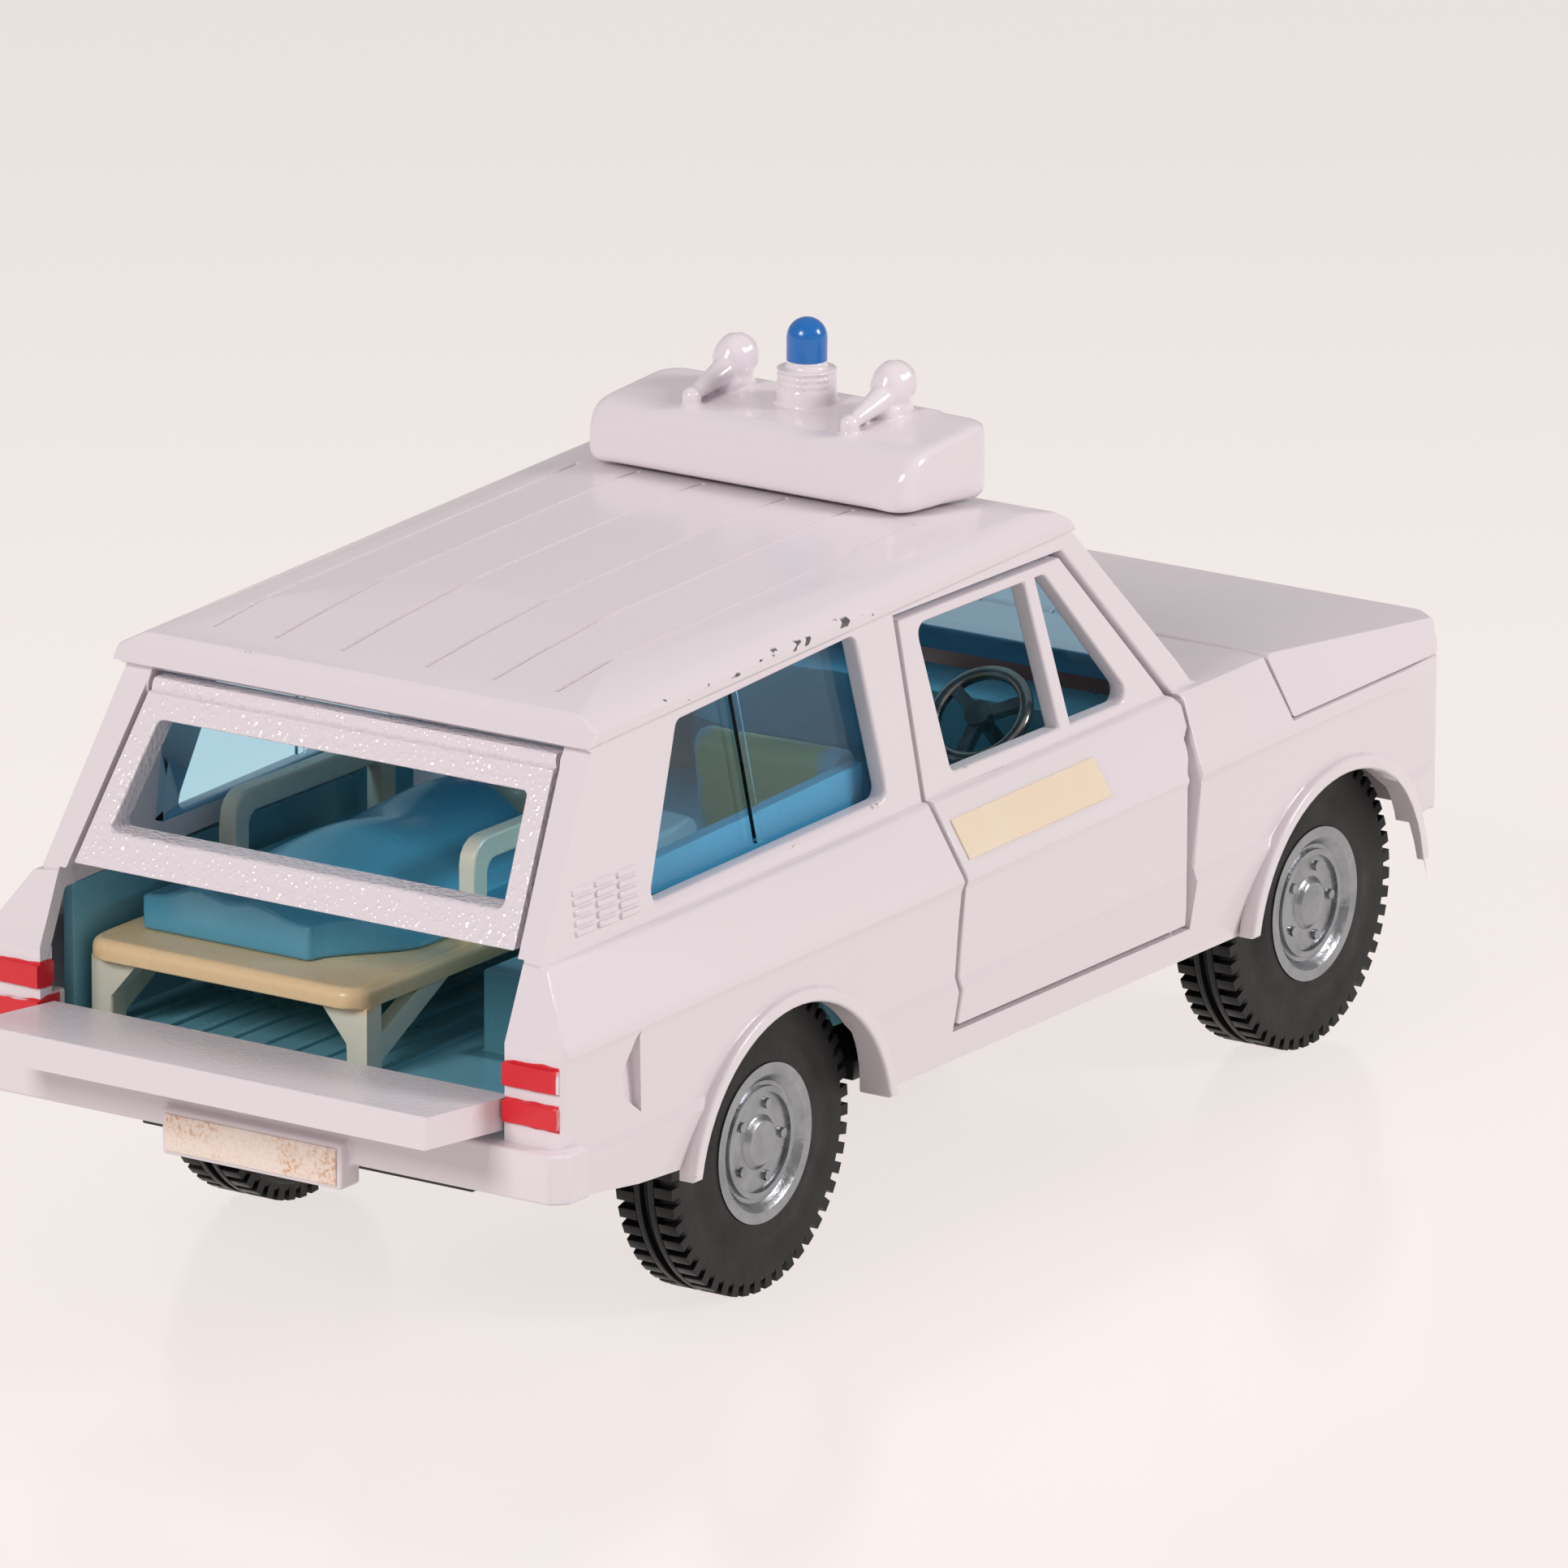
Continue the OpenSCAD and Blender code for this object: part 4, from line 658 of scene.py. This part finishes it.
def start_material(name, **shader):
    """New material with its Principled shader set to plain values, and the object coordinates."""
    material = bpy.data.materials.new(name)
    material.use_nodes = True
    tree = material.node_tree
    tree.nodes.clear()
    out = new_node(tree, "ShaderNodeOutputMaterial", (600, 0))
    bsdf = new_node(tree, "ShaderNodeBsdfPrincipled", (300, 0))
    tree.links.new(bsdf.outputs[0], out.inputs["Surface"])
    for label, value in shader.items():
        socket = bsdf.inputs[label.replace("_", " ")]
        socket.default_value = (*value, 1.0) if socket.type == "RGBA" else value
    where = new_node(tree, "ShaderNodeTexCoord", (-1200, 0)).outputs["Object"]
    return material, tree, bsdf, where, out


def bump(tree, bsdf, height, distance):
    node = new_node(tree, "ShaderNodeBump")
    node.inputs["Strength"].default_value = 1.0
    node.inputs["Distance"].default_value = distance
    feed(tree, node.inputs["Height"], height)
    tree.links.new(node.outputs[0], bsdf.inputs["Normal"])


# Materials


def enamel_material(name, pitch, peel=0.01, rough=0.16, zones=(), pimple=0.0):
    """White enamel on a casting, with pimples if wanted.

    A zone holds a box's middle and half size in millimetres, its raggedness, the scale of that, a tint, the tint's
    share and the scale of spots that break it up, or 0.
    """
    _, colours, _ = settings()
    material, tree, bsdf, where, _ = start_material(name, IOR=1.5)
    aged = place_group(tree, stain_group(), where, Scale=70.0, Low=0.5, High=0.85).outputs[0]
    base = tint_by(tree, aged, 0.2, tuple(colours.enamel), tuple(colours.enamel_shade))
    wear = place_group(tree, wear_and_shade_group(), where, Scale=900.0, Amount=0.0)
    # Dirt and painted shade darken the inner corners
    base = tint_by(tree, wear.outputs["Dirt and shade"], 0.15, base, ENAMEL_DIRT_AND_SHADE)
    base = tint_by(tree, wear.outputs["Wear"], 0.7, base, tuple(colours.bare_metal))
    for middle, half, ragged, scale, tint, share, holes in zones:
        zone = place_zone(tree, where, Vector(middle) * MM, Vector(half) * MM, 0.05, ragged, scale)
        if holes:
            spots = noise(tree, where, holes, 2.0, 0.6)
            zone = math_node(tree, "MULTIPLY", zone, smooth_range(tree, spots, 0.57, 0.6))
        base = tint_by(tree, zone, share, base, tint)
    tree.links.new(base, bsdf.inputs["Base Color"])
    skin = place_group(tree, skin_group(), where, Fine_scale=1.0 / pitch, Broad_scale=140.0, Broad_share=0.5)
    skin = skin.outputs[0]
    if pimple:
        cells = new_node(tree, "ShaderNodeTexVoronoi", feature="SMOOTH_F1")
        feed(tree, cells.inputs["Vector"], where)
        cells.inputs["Scale"].default_value = 1.0 / pitch
        skin = math_node(tree, "ADD", skin, math_node(tree, "MULTIPLY", cells.outputs["Distance"], -pimple / peel))
    bump(tree, bsdf, skin, peel * MM)
    sheen = smooth_range(tree, noise(tree, where, 90.0), 0.3, 0.7, rough * 0.8, rough * 1.25)
    tree.links.new(sheen, bsdf.inputs["Roughness"])
    return material


def body_zones(colours):
    """Red paint on the tail-lamp bars and chips along the right gutter."""
    red = tuple(colours.lamp_red)
    dark = tuple(colours.bare_metal)
    zones = []
    for side in (-1, 1):
        for height in LAMP_HEIGHTS:
            middle = (LAMP_MIDDLE[0], side * LAMP_MIDDLE[1], height)
            zones.append((middle, LAMP_HALF, 0.7, 330.0, red, 1.0, 0))
    for along in GUTTER_CHIPS:
        height = GUTTER_START[1] + GUTTER_RISE * (along - GUTTER_START[0])
        zones.append(((along, GUTTER_SIDE, height), GUTTER_HALF, 0.5, 500.0, dark, 0.95, 620.0))
    return zones


def glass_material(name):
    """Tinted glazing that lets the light of lamps and bounces straight through."""
    _, colours, _ = settings()
    material, tree, bsdf, where, out = start_material(
        name,
        Base_Color=tuple(colours.glass),
        Roughness=0.03,
        IOR=1.3,
        Transmission_Weight=1.0,
        Specular_IOR_Level=0.5,
    )
    clear = new_node(tree, "ShaderNodeBsdfTransparent")
    clear.inputs["Color"].default_value = (*[math.sqrt(c) for c in colours.glass], 1.0)
    light = new_node(tree, "ShaderNodeLightPath")
    mix = new_node(tree, "ShaderNodeMixShader")
    shadow = math_node(tree, "MAXIMUM", light.outputs["Is Shadow Ray"], light.outputs["Is Diffuse Ray"])
    tree.links.new(shadow, mix.inputs[0])
    tree.links.new(bsdf.outputs[0], mix.inputs[1])
    tree.links.new(clear.outputs[0], mix.inputs[2])
    tree.links.new(mix.outputs[0], out.inputs["Surface"])
    skin = place_group(tree, skin_group(), where, Fine_scale=300.0, Broad_scale=60.0, Broad_share=1.0)
    bump(tree, bsdf, skin.outputs[0], 0.01 * MM)
    return material


def plastic_material(name, tint, aged, share, rough=0.35, height=0.01, zones=(), **shader):
    """Moulded plastic with patches of another tint and a fine skin.

    A zone holds a box's middle and half size in metres, its soft edge and raggedness in millimetres, a tint and
    the tint's share. On the bench's rear end the tint is a painted shadow; elsewhere it is a second paint, yellowing
    or staining.
    """
    material, tree, bsdf, where, _ = start_material(name, Roughness=rough, **shader)
    patch = place_group(tree, stain_group(), where, Scale=160.0, Low=0.4, High=0.75).outputs[0]
    base = tint_by(tree, patch, share, tuple(tint), tuple(aged))
    for middle, half, edge, ragged, stain_or_painted_shadow, depth in zones:
        zone = place_zone(tree, where, middle, half, edge, ragged, 260.0)
        base = tint_by(tree, zone, depth, base, stain_or_painted_shadow)
    wear = place_group(tree, wear_and_shade_group(), where, Scale=600.0, Amount=0.5)
    # Dirt and painted shade darken the inner corners
    base = tint_by(tree, wear.outputs["Dirt and shade"], 0.2, base, tuple(c * 0.45 for c in aged))
    tree.links.new(base, bsdf.inputs["Base Color"])
    sheen = smooth_range(tree, noise(tree, where, 250.0), 0.3, 0.7, rough * 0.8, rough * 1.25)
    tree.links.new(sheen, bsdf.inputs["Roughness"])
    skin = place_group(tree, skin_group(), where, Fine_scale=1500.0, Broad_scale=200.0, Broad_share=0.8).outputs[0]
    bump(tree, bsdf, skin, height * MM)
    return material


def box_part(node, low, high):
    """Middle and half size of a share of a node's box."""
    start, end = (Vector(corner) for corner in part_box(node))
    first = Vector([a + (b - a) * s for a, b, s in zip(start, end, low)])
    last = Vector([a + (b - a) * s for a, b, s in zip(start, end, high)])
    return (first + last) / 2, (last - first) / 2


def metal_material(name, tint, dark, rough, height):
    """Bare metal with cast or drawn mottling, and recesses darkened by dirt and painted shade."""
    material, tree, bsdf, where, _ = start_material(name, Metallic=1.0)
    patch = place_group(tree, stain_group(), where, Scale=420.0, Low=0.35, High=0.75).outputs[0]
    base = tint_by(tree, patch, 0.5, tuple(tint), tuple(dark))
    wear = place_group(tree, wear_and_shade_group(), where, Scale=900.0, Amount=0.5)
    # Dirt and painted shade darken the inner corners strongly
    base = tint_by(tree, wear.outputs["Dirt and shade"], 0.7, base, tuple(c * 0.3 for c in dark))
    tree.links.new(base, bsdf.inputs["Base Color"])
    sheen = smooth_range(tree, noise(tree, where, 700.0), 0.3, 0.7, rough * 0.75, rough * 1.3)
    tree.links.new(sheen, bsdf.inputs["Roughness"])
    skin = place_group(tree, skin_group(), where, Fine_scale=2200.0, Broad_scale=500.0, Broad_share=0.8)
    bump(tree, bsdf, skin.outputs[0], height * MM)
    return material


def label_material(name, speck):
    """Bare aged paper, with specks of rust if wanted."""
    _, colours, _ = settings()
    material, tree, bsdf, where, _ = start_material(name, Roughness=0.4)
    patch = place_group(tree, stain_group(), where, Scale=300.0, Low=0.45, High=0.7).outputs[0]
    base = tint_by(tree, patch, 0.35, tuple(colours.label), LABEL_FADED)
    if speck:
        broad = place_group(tree, stain_group(), where, Scale=300.0, Low=0.42, High=0.64).outputs[0]
        fine = place_group(tree, stain_group(), where, Scale=3600.0, Low=0.44, High=0.66).outputs[0]
        grain = math_node(tree, "ADD", math_node(tree, "MULTIPLY", fine, 0.6), 0.08)
        rust = math_node(tree, "MULTIPLY", math_node(tree, "ADD", broad, 0.22), grain)
        base = blend_colour(tree, rust, blend_colour(tree, 0.8, base, PLATE_PALE), tuple(colours.rust))
    tree.links.new(base, bsdf.inputs["Base Color"])
    skin = place_group(tree, skin_group(), where, Fine_scale=1500.0, Broad_scale=300.0, Broad_share=1.0)
    bump(tree, bsdf, skin.outputs[0], 0.008 * MM)
    return material


def floor_material(name):
    """Pale glossy sheet that glows a little, as a light table does, and keeps a faint shadow."""
    _, colours, stage = settings()
    material, tree, bsdf, where, _ = start_material(name, Roughness=0.17, IOR=1.22)
    drift = smooth_range(tree, noise(tree, where, 3.0, 2.0), 0.3, 0.7, 0.97, 1.0)
    base = blend_colour(tree, 1.0, tuple(colours.floor), drift, "MULTIPLY")
    tree.links.new(base, bsdf.inputs["Base Color"])
    light = new_node(tree, "ShaderNodeLightPath")
    seen = math_node(tree, "MAXIMUM", light.outputs["Is Camera Ray"], light.outputs["Is Glossy Ray"])
    seen = math_node(tree, "MAXIMUM", seen, light.outputs["Is Transmission Ray"])
    bsdf.inputs["Emission Color"].default_value = GLOW_TINT
    glow = smooth_range(tree, seen, 0.0, 1.0, stage.floor_light, stage.floor_glow)
    away = new_node(tree, "ShaderNodeVectorMath", operation="DOT_PRODUCT")
    feed(tree, away.inputs[0], where)
    feed(tree, away.inputs[1], FADE_WAY)
    fade = smooth_range(tree, away.outputs["Value"], *FADE_REACH, 1.0, stage.floor_fade)
    tree.links.new(math_node(tree, "MULTIPLY", glow, fade), bsdf.inputs["Emission Strength"])
    return material


# Operators: one for each group of pieces and one for the stage


class TOYAMB_OT_castings(bpy.types.Operator):
    """Enamelled castings: body shell, doors, bonnet, tailgates and roof pod"""

    bl_idname = "toyamb.castings"
    bl_label = "Castings"

    def execute(self, context):
        sizes, colours, _ = settings()
        plain = enamel_material("white_enamel", sizes.peel_pitch)
        coarse = enamel_material("white_enamel_coarse", sizes.coarse_pitch, peel=0.03, rough=0.07, pimple=0.11)
        rough = enamel_material("white_enamel_rough", sizes.coarse_pitch, peel=0.05, rough=0.28)
        shell = enamel_material("white_enamel_body", sizes.peel_pitch, zones=body_zones(colours))
        rules = []
        for low, high in SIDE_BANDS:
            for (bottom, top), radius in ((BELT_HEIGHTS, sizes.belt_edge), (CREASE_HEIGHTS, 0.0)):
                rules.append(((-CAR_END, low, bottom), (CAR_END, high, top), radius))
        sharp = [(*ROOF_GROOVES, 0.0), (*FILLER_RECESS, 0.0)]
        self.panel("body_shell", shell, sizes.casting_edge, [*rules, *sharp])
        for node in ("left_door", "right_door"):
            self.panel(node, plain, sizes.panel_edge, rules)
        bonnet = cad_copy("bonnet")
        shift_points(bonnet, lambda co: abs(co.y) > BONNET_SIDE and co.z < BONNET_LOW, (0.0, 0.0, -BONNET_DROP))
        soften(bonnet, sizes.panel_edge, sizes.edge_segments)
        finish_piece(bonnet, plain, "bonnet")
        dress("upper_tailgate", coarse, sizes.panel_edge, sizes.edge_segments)
        dress("lower_tailgate", rough, sizes.casting_edge, sizes.edge_segments)
        pod = cad_copy("roof_pod")
        for side in (-1, 1):
            self.add_horn(pod, side * HORN_ACROSS)
        melt(pod, sizes.pod_grain, POD_MELT_PASSES)
        self.roll_edge(pod)
        finish_piece(pod, plain, "roof_pod")
        return {"FINISHED"}

    def panel(self, node, paint, radius, rules):
        """Dresses a panel of the side and levels its crease a little."""
        sizes, _, _ = settings()
        piece = cad_copy(node)
        foot = CREASE_FOOT * MM
        for vert in piece.data.vertices:
            ridge = CREASE_RIDGE * MM + CREASE_RISE * vert.co.x
            if abs(vert.co.z - ridge) < CREASE_BAND * MM and foot < abs(vert.co.y) < CREASE_REACH * MM:
                vert.co.y = math.copysign(foot + (abs(vert.co.y) - foot) * sizes.crease_share, vert.co.y)
        soften(piece, radius, sizes.edge_segments, rules=rules)
        finish_piece(piece, paint, node)

    def roll_edge(self, pod):
        """Smooths the pod's upper edge at its rear and sides."""
        chosen = []
        for vert in pod.data.vertices:
            x, y, z = vert.co / MM
            if z > POD_ROLL_HEIGHT and (x < POD_ROLL_REAR or abs(y) > POD_ROLL_SIDE):
                chosen.append(vert.index)
        roll = pod.vertex_groups.new(name="roll")
        roll.add(chosen, 1.0, "REPLACE")
        even = pod.modifiers.new("Rolled edge", "SMOOTH")
        even.vertex_group = roll.name
        even.factor = 0.5
        even.iterations = POD_ROLL_PASSES
        apply_modifiers(pod)

    def add_horn(self, pod, across):
        """Adds a horn's full bell, its fairing and its tapered neck to the pod."""
        for (along, height), radii in HORN_BULBS:
            place = Vector((along, across, height)) * MM
            bpy.ops.mesh.primitive_uv_sphere_add(
                segments=32, ring_count=20, radius=MM, location=place, scale=radii
            )
            self.join(pod)
        rear, front = (Vector((along, across, height)) * MM for along, height, _ in HORN_NECK)
        bpy.ops.mesh.primitive_cone_add(
            vertices=24,
            radius1=HORN_NECK[0][2] * MM,
            radius2=HORN_NECK[1][2] * MM,
            depth=(front - rear).length,
            location=(rear + front) / 2,
            rotation=(front - rear).to_track_quat("Z", "Y").to_euler(),
        )
        self.join(pod)

    def join(self, pod):
        """Joins the form that was added last to the pod."""
        added = bpy.context.object
        pick(added)
        bpy.ops.object.transform_apply(location=True, rotation=True, scale=True)
        pick(added, pod)
        bpy.ops.object.join()


class TOYAMB_OT_trim(bpy.types.Operator):
    """Beacon, grille, headlamps and bare labels"""

    bl_idname = "toyamb.trim"
    bl_label = "Trim"

    def execute(self, context):
        sizes, colours, _ = settings()
        foot = box_part("beacon_lens", (-0.2, -0.2, -0.5), (1.2, 1.2, 0.12))
        zones = [(*foot, 0.04, 0.5, tuple(colours.enamel), 1.0)]
        blue = plastic_material(
            "beacon_paint", colours.beacon_blue, BEACON_SHADE, 0.4, 0.2, 0.004, zones, Coat_Weight=0.35
        )
        plating = metal_material("worn_plating", colours.plating, PLATING_SHADE, 0.22, 0.006)
        paper = label_material("door_label_paper", False)
        rusty = label_material("plate_label_paper", True)
        dress("beacon_lens", blue, 0.0)
        for node in ("left_headlamp", "right_headlamp", "grille"):
            dress(node, plating, sizes.wheel_edge, 2)
        for node in ("left_door_label", "right_door_label"):
            dress(node, paper, 0.05 * MM, 2)
        dress("plate_label", rusty, 0.05 * MM, 2)
        return {"FINISHED"}


class TOYAMB_OT_glazing(bpy.types.Operator):
    """Blue tinted glazing"""

    bl_idname = "toyamb.glazing"
    bl_label = "Glazing"

    def execute(self, context):
        dress("glazing", glass_material("blue_glazing"), 0.06 * MM, 2)
        return {"FINISHED"}


class TOYAMB_OT_interior(bpy.types.Operator):
    """Moulded interior, seats and steering wheel"""

    bl_idname = "toyamb.interior"
    bl_label = "Interior"

    def execute(self, context):
        sizes, colours, _ = settings()
        # Painted shadow: the bench's rear end is darkened where the tailgate's lower frame would shade it
        middle, half = (Vector(corner) * MM for corner in BENCH_END)
        shade = [(middle, half, 0.5, 1.0, BENCH_PAINTED_SHADOW, 0.75)]
        tub = plastic_material("interior_plastic", colours.tub, TUB_SHADE, 0.4, 0.32, 0.008, shade)
        stained = box_part("driver_seat", (-0.2, 0.1, 0.45), (0.6, 0.95, 1.1))
        stain_or_painted_shadow = [(*stained, 0.6, 3.0, SEAT_STAIN, 0.9)]
        seat = plastic_material("seat_plastic", colours.seat, SEAT_SHADE, 0.5, 0.34, 0.008)
        aged = plastic_material("seat_plastic_aged", colours.seat, SEAT_SHADE, 0.5, 0.34, 0.008, stain_or_painted_shadow)
        wheel = metal_material("steering_plating", STEERING, STEERING_SHADE, 0.2, 0.006)
        bay = cad_copy("interior_tub")
        inner, outer = TUB_WALL_SIDES
        shift_points(bay, lambda co: co.x < TUB_WALL_END and inner < co.y < outer, (TUB_WALL_MOVE, 0.0, 0.0))
        soften(bay, sizes.plastic_edge, 2)
        finish_piece(bay, tub, "interior_tub")
        dress("driver_seat", aged, 0.3 * MM, 3)
        dress("passenger_seat", seat, 0.3 * MM, 3)
        dress("steering_wheel", wheel, 0.08 * MM, 2)
        return {"FINISHED"}


class TOYAMB_OT_stretcher(bpy.types.Operator):
    """Stretcher with its blanket and the figure's head"""

    bl_idname = "toyamb.stretcher"
    bl_label = "Stretcher"

    def execute(self, context):
        _, colours, _ = settings()
        rear, front = (corner[0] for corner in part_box("stretcher"))
        across, height = BED_MIDDLE
        bed = Vector(((rear + front) / 2, across * MM, height * MM))
        zones = [(bed, Vector(BED_HALF) * MM, 0.35, 0.9, tuple(colours.yellowed), 0.85)]
        waxy = {"Subsurface_Weight": 0.25, "Subsurface_Scale": 0.0012}
        cream = plastic_material(
            "cream_plastic", colours.cream, colours.yellowed, 0.25, 0.3, 0.012, zones, **waxy
        )
        paint = plastic_material(
            "blanket_paint", colours.blanket, BLANKET_SHADE, 0.5, 0.3, 0.02, Coat_Weight=0.3
        )
        carrier = cad_copy("stretcher")
        self.lengthen_struts(carrier)
        soften(carrier, 0.2 * MM, 3)
        finish_piece(carrier, cream, "stretcher")
        dress("blanket", paint, 0.3 * MM, 3, corner=40.0, smooth=60.0)
        dress("patient_head", cream, 0.2 * MM, 3)
        return {"FINISHED"}

    def lengthen_struts(self, carrier):
        """Moves the ends of the rear legs' struts down the leg and along the bed."""
        for (along, height), move in STRUT_MOVES:

            def at_end(co, along=along, height=height):
                aside = min(abs(co.y - side) for side in STRUT_SIDES)
                return max(abs(co.x - along), abs(co.z - height), aside) < STRUT_NEAR

            shift_points(carrier, at_end, move)


class TOYAMB_OT_wheels(bpy.types.Operator):
    """Cast hubs, block-tread tyres and axles"""

    bl_idname = "toyamb.wheels"
    bl_label = "Wheels"

    def execute(self, context):
        sizes, colours, _ = settings()
        zinc = metal_material("cast_zinc", colours.zinc, ZINC_SHADE, 0.3, 0.025)
        steel = metal_material("steel_wire", colours.steel, STEEL_SHADE, 0.3, 0.006)
        rubber = plastic_material(
            "tyre_rubber", colours.rubber, RUBBER_SHADE, 0.5, 0.4, 0.02, Specular_IOR_Level=0.28
        )
        for end in ("front", "rear"):
            dress(end + "_axle", steel, 0.1 * MM, 2)
            middle = sum((Vector(corner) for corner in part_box(end + "_axle")), Vector()) / 2
            for side in ("left", "right"):
                wheel = f"{end}_{side}"
                hub = cad_copy(wheel + "_hub")
                tyre = cad_copy(wheel + "_tyre", lambda mesh, middle=middle: self.dish(mesh, middle))
                self.narrow(hub, sizes.tyre_share, HUB_FACE_DEPTH * MM)
                self.narrow(tyre, sizes.tyre_share, 0.0)
                soften(hub, sizes.wheel_edge, 2)
                soften(tyre, sizes.tread_edge, 2)
                finish_piece(hub, zinc, wheel + "_hub")
                finish_piece(tyre, rubber, wheel + "_tyre")
        return {"FINISHED"}

    def dish(self, mesh, middle):
        """Sinks rings into a tyre's sidewalls."""
        for vert in mesh.vertices:
            away = math.hypot(vert.co.x - middle.x, vert.co.z - middle.z)
            for radius, depth in SIDEWALL_RINGS:
                if abs(away - radius * MM) < RING_NEAR * MM and abs(vert.co.y) > SIDEWALL * MM:
                    vert.co.y -= math.copysign(depth * MM, vert.co.y)

    def narrow(self, piece, share, keep):
        """Draws a wheel's inner side toward its face, past a depth that is kept."""
        face = max(abs(vert.co.y) for vert in piece.data.vertices)
        for vert in piece.data.vertices:
            deep = face - abs(vert.co.y)
            if deep > keep:
                vert.co.y = math.copysign(face - keep - (deep - keep) * share, vert.co.y)


class TOYAMB_OT_underside(bpy.types.Operator):
    """Baseplate, rivets, pins and rods"""

    bl_idname = "toyamb.underside"
    bl_label = "Underside"

    def execute(self, context):
        sizes, colours, _ = settings()
        base = plastic_material("base_paint", colours.base, BASE_SHADE, 0.4, 0.42, 0.015)
        steel = bpy.data.materials["steel_wire"]
        dress("baseplate", base, sizes.plastic_edge, 2)
        pins = ("base_rivets", "left_door_pin", "right_door_pin", "bonnet_rod", "upper_gate_rod", "lower_gate_rod")
        for node in pins:
            dress(node, steel, 0.08 * MM, 2)
        return {"FINISHED"}


class TOYAMB_OT_stage(bpy.types.Operator):
    """Pale floor, soft lamps and the camera"""

    bl_idname = "toyamb.stage"
    bl_label = "Stage"

    def execute(self, context):
        _, _, stage = settings()
        scene = context.scene
        scene.view_settings.view_transform = "Standard"
        bpy.ops.object.select_all(action="DESELECT")
        bpy.ops.mesh.primitive_plane_add(size=stage.floor_size, location=(0, 0, 0))
        floor = context.object
        floor.name = "studio_floor"
        floor.data.materials.append(floor_material("studio_floor"))
        world = bpy.data.worlds.new("studio_fill")
        scene.world = world
        world.use_nodes = True
        fill = world.node_tree.nodes["Background"]
        fill.inputs["Color"].default_value = FILL_TINT
        fill.inputs["Strength"].default_value = stage.sky
        self.lamp("key_lamp", KEY_PLACE, stage.lamp_size, stage.key_power)
        self.lamp("side_lamp", SIDE_PLACE, stage.lamp_size, stage.side_power)
        self.lamp("top_lamp", TOP_PLACE, TOP_SIZE, stage.top_power)
        self.camera(scene, stage)
        return {"FINISHED"}

    def camera(self, scene, stage):
        """Puts the camera at its distance from the target and makes it the scene's own."""
        level = math.cos(stage.elevation)
        back = Vector(
            (math.sin(stage.azimuth) * level, -math.cos(stage.azimuth) * level, math.sin(stage.elevation))
        )
        right = Vector((0, 0, 1)).cross(back).normalized()
        up = back.cross(right)
        turn = Matrix((right, up, back)).transposed() @ Matrix.Rotation(stage.roll, 3, "Z")
        camera = bpy.data.objects.new("studio_camera", bpy.data.cameras.new("studio_camera"))
        scene.collection.objects.link(camera)
        camera.data.lens = stage.lens
        camera.data.sensor_width = SENSOR_WIDTH
        camera.data.clip_start, camera.data.clip_end = CLIP
        place = Vector(stage.target) + back * stage.distance
        camera.matrix_world = Matrix.Translation(place) @ turn.to_4x4()
        scene.camera = camera

    def lamp(self, name, place, size, watts):
        """Adds a square lamp that points at the car."""
        bpy.ops.object.light_add(type="AREA", location=place)
        lamp = bpy.context.object
        lamp.name = name
        lamp.data.shape = "SQUARE"
        lamp.data.size = size
        lamp.data.energy = watts
        lamp.data.color = LAMP_TINT
        lamp.rotation_euler = (Vector(LAMP_AIM) - Vector(place)).to_track_quat("-Z", "Y").to_euler()


class TOYAMB_PT_panel(bpy.types.Panel):
    """Lists the settings and the steps of the toy ambulance"""

    bl_idname = "TOYAMB_PT_panel"
    bl_label = "Toy Ambulance"
    bl_space_type = "VIEW_3D"
    bl_region_type = "UI"
    bl_category = "Ambulance"

    def draw(self, context):
        layout = self.layout
        for step in STEPS:
            layout.operator(step.bl_idname)
        for group in (context.scene.ambulance_sizes, context.scene.ambulance_colours, context.scene.ambulance_stage):
            box = layout.box()
            for name in group.__annotations__:
                box.prop(group, name)


STEPS = (
    TOYAMB_OT_castings,
    TOYAMB_OT_trim,
    TOYAMB_OT_glazing,
    TOYAMB_OT_interior,
    TOYAMB_OT_stretcher,
    TOYAMB_OT_wheels,
    TOYAMB_OT_underside,
    TOYAMB_OT_stage,
)
GROUPS = (AmbulanceSizes, AmbulanceColours, AmbulanceStage)


def register():
    for cls in (*GROUPS, *STEPS, TOYAMB_PT_panel):
        bpy.utils.register_class(cls)
    bpy.types.Scene.ambulance_sizes = PointerProperty(type=AmbulanceSizes)
    bpy.types.Scene.ambulance_colours = PointerProperty(type=AmbulanceColours)
    bpy.types.Scene.ambulance_stage = PointerProperty(type=AmbulanceStage)


def unregister():
    del bpy.types.Scene.ambulance_stage
    del bpy.types.Scene.ambulance_colours
    del bpy.types.Scene.ambulance_sizes
    for cls in reversed((*GROUPS, *STEPS, TOYAMB_PT_panel)):
        bpy.utils.unregister_class(cls)


def main():
    register()
    bpy.ops.toyamb.castings()
    bpy.ops.toyamb.trim()
    bpy.ops.toyamb.glazing()
    bpy.ops.toyamb.interior()
    bpy.ops.toyamb.stretcher()
    bpy.ops.toyamb.wheels()
    bpy.ops.toyamb.underside()
    bpy.ops.toyamb.stage()


if __name__ == "__main__":
    main()
